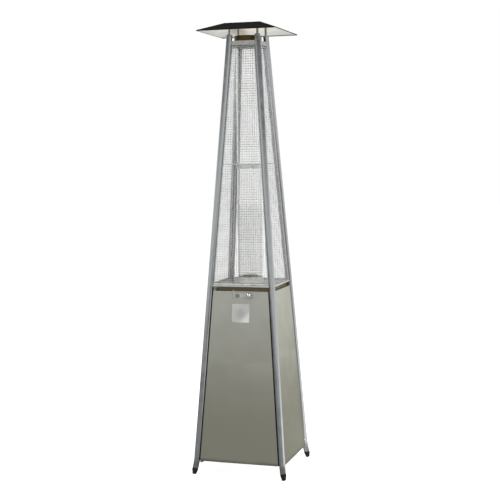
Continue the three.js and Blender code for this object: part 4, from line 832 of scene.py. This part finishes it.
# Guards: a fine square mesh of round wires, welded to a wire frame between each pair of posts
FRAME_SIDES = 12
WIRE_SIDES = 6
GUARD_FRAME = 6 * MM
GUARD_WIRE = 1.4 * MM
GUARD_PITCH = 12.5 * MM
GUARD_BAR = 5 * MM
GUARD_BAR_HEIGHT = 1566 * MM


def wire(start, end, thickness, sides):
    """A straight round wire with flat ends."""
    way = Vector(end) - Vector(start)
    begin_ring(thickness / 2, sides, start, way)
    bpy.ops.mesh.edge_face_add()
    bpy.ops.mesh.select_all(action="SELECT")
    extrude(way)
    bpy.ops.mesh.select_all(action="SELECT")
    bpy.ops.mesh.normals_make_consistent(inside=False)
    bpy.ops.object.mode_set(mode="OBJECT")
    return bpy.context.object


def guard_mesh():
    """One guard in the frame of its face."""
    half = GUARD_FRAME / 2
    low = row_at(DECK_TOP + FIT) + half * math.tan(TILT) + half
    high = row_at(GUARD_TOP) - half
    inset = POST_RADIUS + FIT + half
    wires = []
    for side in (-1, 1):
        ends = [(side * (face_spread(row) - inset), 0, row) for row in (low - half, high + half)]
        wires.append(wire(ends[0], ends[1], GUARD_FRAME, FRAME_SIDES))
    for row in (low, high):
        reach = face_spread(row) - inset
        wires.append(wire((-reach, 0, row), (reach, 0, row), GUARD_FRAME, FRAME_SIDES))
    # An upright ends where the leaning side of the frame crosses it
    widest = face_spread(low) - inset
    for i in range(-int(widest / GUARD_PITCH), int(widest / GUARD_PITCH) + 1):
        place = i * GUARD_PITCH
        top = min(high, low + (widest - abs(place)) / math.sin(TILT))
        if top - low > GUARD_PITCH:
            wires.append(wire((place, 0, low), (place, 0, top), GUARD_WIRE, WIRE_SIDES))
    steps = round((high - low) / GUARD_PITCH)
    for i in range(1, steps):
        row = low + (high - low) * i / steps
        reach = face_spread(row) - inset
        wires.append(wire((-reach, -GUARD_WIRE, row), (reach, -GUARD_WIRE, row), GUARD_WIRE, WIRE_SIDES))
    row = row_at(GUARD_BAR_HEIGHT)
    reach = face_spread(row) - inset
    wires.append(wire((-reach, 0, row), (reach, 0, row), GUARD_BAR, FRAME_SIDES))
    join_onto(*wires)
    return bpy.context.object


def guards():
    pattern = guard_mesh()
    for quarter, face in enumerate(FACES):
        select_only(pattern)
        bpy.ops.object.duplicate(linked=False)
        finish(f"wire_guard_{face}", "frame", WIRE, [f"{face}_guard"], 50, face_matrix(quarter))
    bpy.data.objects.remove(pattern)


def working_parts():
    """The parts inside keep their CAD shapes, with edges rounded, and get their finishes."""
    for node, body, slot, material in (
        ("gas_valve_body", "frame", "cast_alloy", ALLOY), ("valve_plug", "valve_plug", "brass", BRASS),
        ("valve_stem", "knob", "brass", BRASS), ("injector", "frame", "brass", BRASS),
        ("pilot_burner", "frame", "brass", BRASS), ("gas_inlet_fitting", "frame", "brass", BRASS),
        ("tilt_switch", "frame", "black_plastic", NYLON), ("spark_electrode", "frame", "ceramic", CERAMIC),
        ("venturi_tube", "frame", "brushed_steel", TRIM_STEEL), ("burner_head", "frame", "heated_steel", STRAW),
        ("door_pin_lower", "frame", "polished_steel", CHROME),
        ("door_pin_upper", "frame", "polished_steel", CHROME),
    ):
        dressed(node, body, material, 0.3 * MM, 2, 35)
    for node, material in (("main_gas_tube", COPPER), ("pilot_tube", COPPER), ("thermocouple", COPPER),
                           ("igniter_lead", RUBBER)):
        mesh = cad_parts[node].data
        mesh.materials.clear()
        mesh.materials.append(material)


posts()
feet()
housing()
seat_and_glass()
controls()
standoffs()
top_plate()
reflector()
fasteners()
guards()
working_parts()


# Studio: a pale floor, a white backdrop and soft lamps. PALE_SIDE is a level direction: reflections
# are fullest on that side and dim opposite it, to these shares of white on the floor and the walls.
PALE_SIDE = (0.5, 0.866, 0)
FLOOR_DIM = 0.2
FLOOR_FULL = 0.82
FLOOR_GLOW = 0.87
WALL_DIM = 0.92
LAMP_AIM = (0, 0, 1.1)
LAMP_SIZE = 2.2


def side_of_studio(tree, way, dim, full=1.0):
    """How pale the studio is in a level direction, from dim to full."""
    side = add(tree, "VectorMath", "Value", {0: way, 1: PALE_SIDE}, operation="DOT_PRODUCT")
    return add(tree, "MapRange", "Result", {"Value": side, "From Min": -0.15, "From Max": 0.5,
                                            "To Min": dim, "To Max": full}, interpolation_type="SMOOTHSTEP")


def pale_floor():
    """A pale matt floor that the camera, reflections and the glass see as white, with its shadow.
    In reflections it dims towards the studio's dim side."""
    bpy.ops.object.select_all(action="DESELECT")
    bpy.ops.mesh.primitive_plane_add(size=60, location=(0, 0, 0))
    floor = bpy.context.object
    floor.name = "studio_floor"
    material = bpy.data.materials.new("matt_white_floor")
    material.use_nodes = True
    tree = material.node_tree
    shader = tree.nodes["Principled BSDF"]
    shader.inputs["Roughness"].default_value = 0.9
    shader.inputs["Specular IOR Level"].default_value = 0
    path = tree.nodes.new("ShaderNodeLightPath")
    glossy = path.outputs["Is Glossy Ray"]
    place = add(tree, "TexCoord", "Object", {})
    way = add(tree, "VectorMath", "Vector", {0: place}, operation="NORMALIZE")
    dim = add(tree, "Mix", 0, {0: glossy, 2: 1.0, 3: side_of_studio(tree, way, FLOOR_DIM, FLOOR_FULL)},
              data_type="FLOAT")
    seen = add(tree, "Math", 0, {0: path.outputs["Is Camera Ray"], 1: glossy}, operation="MAXIMUM")
    seen = add(tree, "Math", 0, {0: seen, 1: path.outputs["Is Transmission Ray"]}, operation="MAXIMUM")
    lift = add(tree, "Math", 0, {0: seen, 1: FLOOR_GLOW}, operation="MULTIPLY")
    lift = add(tree, "Math", 0, {0: lift, 1: dim}, operation="MULTIPLY")
    tone = add(tree, "Mix", 2, {0: dim, 6: (0, 0, 0, 1), 7: colour("#f0f0ee")}, data_type="RGBA")
    shader.inputs["Emission Color"].default_value = (1, 1, 1, 1)
    link(tree, shader, Emission_Strength=lift, Base_Color=tone)
    floor.data.materials.append(material)


def studio_world():
    """White to the camera and through glass. Elsewhere a soft light that is fullest low at the back
    right and dim overhead, as between pale walls and a dark ceiling."""
    world = bpy.data.worlds.new("studio")
    bpy.context.scene.world = world
    world.use_nodes = True
    tree = world.node_tree
    sky = tree.nodes["Background"]
    path = tree.nodes.new("ShaderNodeLightPath")
    way = add(tree, "TexCoord", "Generated", {})
    height = add(tree, "SeparateXYZ", "Z", {"Vector": way})
    ceiling = add(tree, "MapRange", "Result", {"Value": height, "From Min": 0.11, "From Max": 0.2,
                                               "To Min": 1.0, "To Max": 0.2}, interpolation_type="SMOOTHSTEP")
    glow = add(tree, "Math", 0, {0: side_of_studio(tree, way, WALL_DIM), 1: ceiling}, operation="MULTIPLY")
    through = add(tree, "Math", 0, {0: path.outputs["Is Camera Ray"],
                                    1: path.outputs["Is Transmission Ray"]}, operation="MAXIMUM")
    strength = add(tree, "Mix", 0, {0: through, 2: glow, 3: 1.0}, data_type="FLOAT")
    tree.links.new(strength, sky.inputs["Strength"])
    sky.inputs["Color"].default_value = (1, 1, 1, 1)


def soft_lamp(name, place, power):
    """A large square lamp that faces the middle of the heater."""
    lamp = bpy.data.lights.new(name, "AREA")
    lamp.size = LAMP_SIZE
    lamp.energy = power
    obj = bpy.data.objects.new(name, lamp)
    obj.location = place
    obj.rotation_euler = (Vector(LAMP_AIM) - Vector(place)).to_track_quat("-Z", "Y").to_euler()
    bpy.context.scene.collection.objects.link(obj)


# The camera's fit to the photograph: angles in radians, and a focal length in the frame's own pixels
FRAME_PIXELS = 500
FOCAL_PIXELS = 1138.55
SENSOR_WIDTH = 36


def camera():
    """The photograph's view: from the right of the front, above the middle and pitched down."""
    turn, pitch, roll = 0.3045, 0.0836, -0.011
    away, aside, height = 5821.48 * MM, -0.98 * MM, 1613.56 * MM
    right = Vector((math.cos(turn), math.sin(turn), 0))
    look = Vector((-math.sin(turn) * math.cos(pitch), math.cos(turn) * math.cos(pitch), -math.sin(pitch)))
    up = right.cross(look)
    across = math.cos(roll) * right + math.sin(roll) * up
    above = math.cos(roll) * up - math.sin(roll) * right
    data = bpy.data.cameras.new("photo_camera")
    data.sensor_width = SENSOR_WIDTH
    data.lens = FOCAL_PIXELS / FRAME_PIXELS * SENSOR_WIDTH
    data.clip_end = 100
    obj = bpy.data.objects.new("photo_camera", data)
    place = Vector((away * math.sin(turn), -away * math.cos(turn), height)) + aside * right
    axes = Matrix((across, above, -look)).transposed()
    obj.matrix_world = Matrix.Translation(place) @ axes.to_4x4()
    bpy.context.scene.collection.objects.link(obj)
    bpy.context.scene.camera = obj


pale_floor()
studio_world()
soft_lamp("key_lamp", (2.9, -2.4, 5.4), power=280)
soft_lamp("fill_lamp", (-2.8, -2.6, 5.2), power=115)
camera()
bpy.context.scene.view_settings.view_transform = "Standard"
